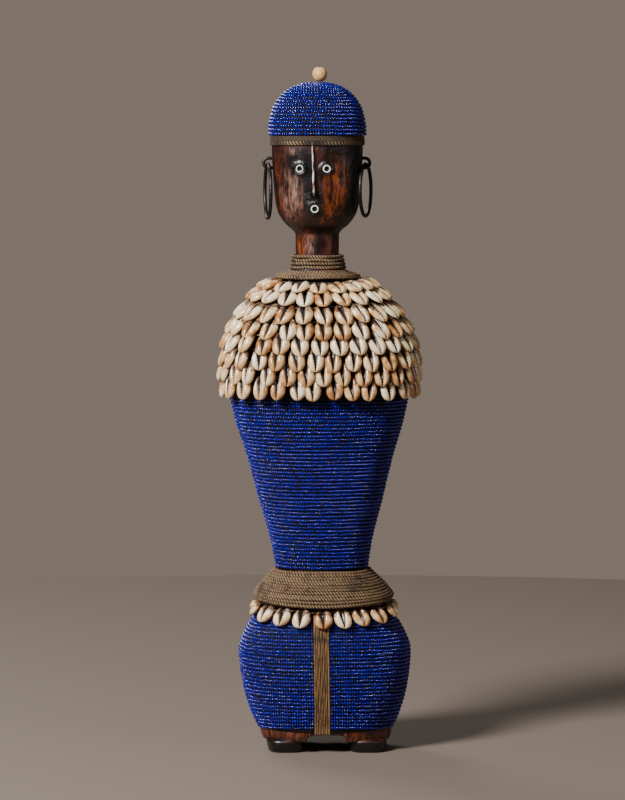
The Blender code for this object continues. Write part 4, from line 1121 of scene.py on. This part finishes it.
def ringThread(fall, down, seed):
    # sewing thread that runs round under the tops of a row's shells
    turn, _ = evenTurns(fall.sizesAt(down), 260)
    out = fall.axes(turn, down + 0 * turn)[2]
    where = down + wave(turn, seed, 0.8 * mm, 40)
    path = fall.point(turn, where) + out * 2.2 * mm
    return (*twistedCord(path, out, 0.7 * mm, 3.0 * mm, around=6), True)


def dressShoulders():
    # the rows' tips stand as far out as their lift, so each front tip's place down the cloth is read off a table
    cloth = profileOf("shell_backing")
    extended = np.vstack([[cloth[0, 0] - 3 * mm, *(cloth[0, 1:] - (0, 0.4 * mm, 0.4 * mm))], cloth])
    fall = FallLine(extended)
    sleeve("shell_cloth", cloth, 0.05 * mm, 1.0 * mm, ["shell_backing"])
    downs = np.linspace(0, fall.length, 300)
    out = fall.axes(np.full(len(downs), -math.pi / 2), downs)[2]
    tipLevels = fall.levelAt(downs) + out[:, 2] * cowries["tipLift"]
    threads = []
    for i, (count, rise) in enumerate(zip(cowries["counts"], cowries["sideRise"])):
        node = f"cowrie_row_{i + 1}"
        tip = np.interp(-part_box(node)[0].z, -tipLevels, downs)
        length = cowries["firstLength"] if i == 0 else cowries["length"]
        phase = 0.25 + 0.5 * (i % 2)  # every second row is set between the shells of the one above
        settings = count, tip, rise * mm, length, cowries["tipLift"], phase, 700 + i, 0.93
        threads.append(sewShells(f"sewn_cowries_{i + 1}", node, fall, *settings))
    cordPiece("cowrie_threads", threads, twine, (), 90)


def dressSkirt():
    # one row over the leg beads, its middle shell a little off the strip
    fall = FallLine(legLayer())
    tip = fall.downAt(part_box("skirt_cowries")[0].z) + cowries["skirtDrop"]
    settings = (
        cowries["skirtCount"], tip, cowries["skirtRise"], cowries["skirtLength"], cowries["skirtTipLift"],
        -0.12, 800, 1.08,
    )
    thread = sewShells("skirt_sewn_cowries", "skirt_cowries", fall, *settings)
    cordPiece("skirt_cowrie_thread", [thread], twine, (), 91)


dressShoulders()
dressSkirt()
print("cowrie shells made")


# Floor, light and camera

studio = {
    "floor": "#76685c",
    "floorRadius": 1.15,
    "backdrop": "#dcc8b8",
    "backdropStrength": 0.3,
    "ambient": "#dfd6cc",
    "ambientStrength": 0.08,
    "eyeHeight": 0.262,
    "aimX": -0.0055,
    "distance": 2.921,
    "pitch": math.radians(3.9),
    "lens": 175.5,
    "lamps": (  # place, size, watts
        ((-1.35, -1.6, 1.65), 0.7, 128.0),
        ((1.6, -1.2, 0.8), 0.9, 4.0),
        ((-0.9, 1.6, 1.6), 0.9, 18.0),
    ),
}


def setStage():
    # a round floor, and a world that the camera sees as a plain pale backdrop but that lights the work less
    corners = 96
    angle = np.arange(corners) / corners * fullTurn
    ring = studio["floorRadius"] * np.column_stack([np.cos(angle), np.sin(angle)])
    points = np.column_stack([ring, np.full(corners, -0.02 * mm)])
    mesh = bpy.data.meshes.new("floor")
    mesh.from_pydata(points.tolist(), [], [list(range(corners))])
    mat, shader = newMaterial("pale studio paper")
    fill(mat, shader, {"Base Color": studio["floor"], "Roughness": 0.8})
    mesh.materials.append(mat)
    floor = bpy.data.objects.new("floor", mesh)
    bpy.context.scene.collection.objects.link(floor)
    world = bpy.data.worlds.new("studio")
    world.use_nodes = True
    back = world.node_tree.nodes["Background"]
    fill(world, back, {"Color": studio["ambient"], "Strength": studio["ambientStrength"]})
    seen = addNode(world, "Background", {"Color": studio["backdrop"], "Strength": studio["backdropStrength"]})
    ray = addNode(world, "LightPath", take="Is Camera Ray")
    blend = addNode(world, "MixShader", {0: ray, 1: back.outputs["Background"], 2: seen})
    world.node_tree.links.new(blend, world.node_tree.nodes["World Output"].inputs["Surface"])
    bpy.context.scene.world = world


def aimAt(obj, target):
    obj.rotation_euler = (target - obj.location).to_track_quat("-Z", "Y").to_euler()


def lightAndCamera():
    target = Vector((studio["aimX"], 0, studio["eyeHeight"]))
    for i, (place, size, watts) in enumerate(studio["lamps"]):
        light = bpy.data.lights.new(f"softbox_{i}", "AREA")
        light.shape, light.size, light.energy = "DISK", size, watts
        lamp = bpy.data.objects.new(f"softbox_{i}", light)
        lamp.location = place
        aimAt(lamp, target)
        bpy.context.scene.collection.objects.link(lamp)
    data = bpy.data.cameras.new("camera")
    data.lens, data.sensor_width, data.clip_start = studio["lens"], 36.0, 0.05
    camera = bpy.data.objects.new("camera", data)
    reach = studio["distance"]
    camera.location = target + Vector((0, -reach * math.cos(studio["pitch"]), reach * math.sin(studio["pitch"])))
    aimAt(camera, target)
    bpy.context.scene.collection.objects.link(camera)
    bpy.context.scene.camera = camera


setStage()
lightAndCamera()
print("stage, lights and camera set")
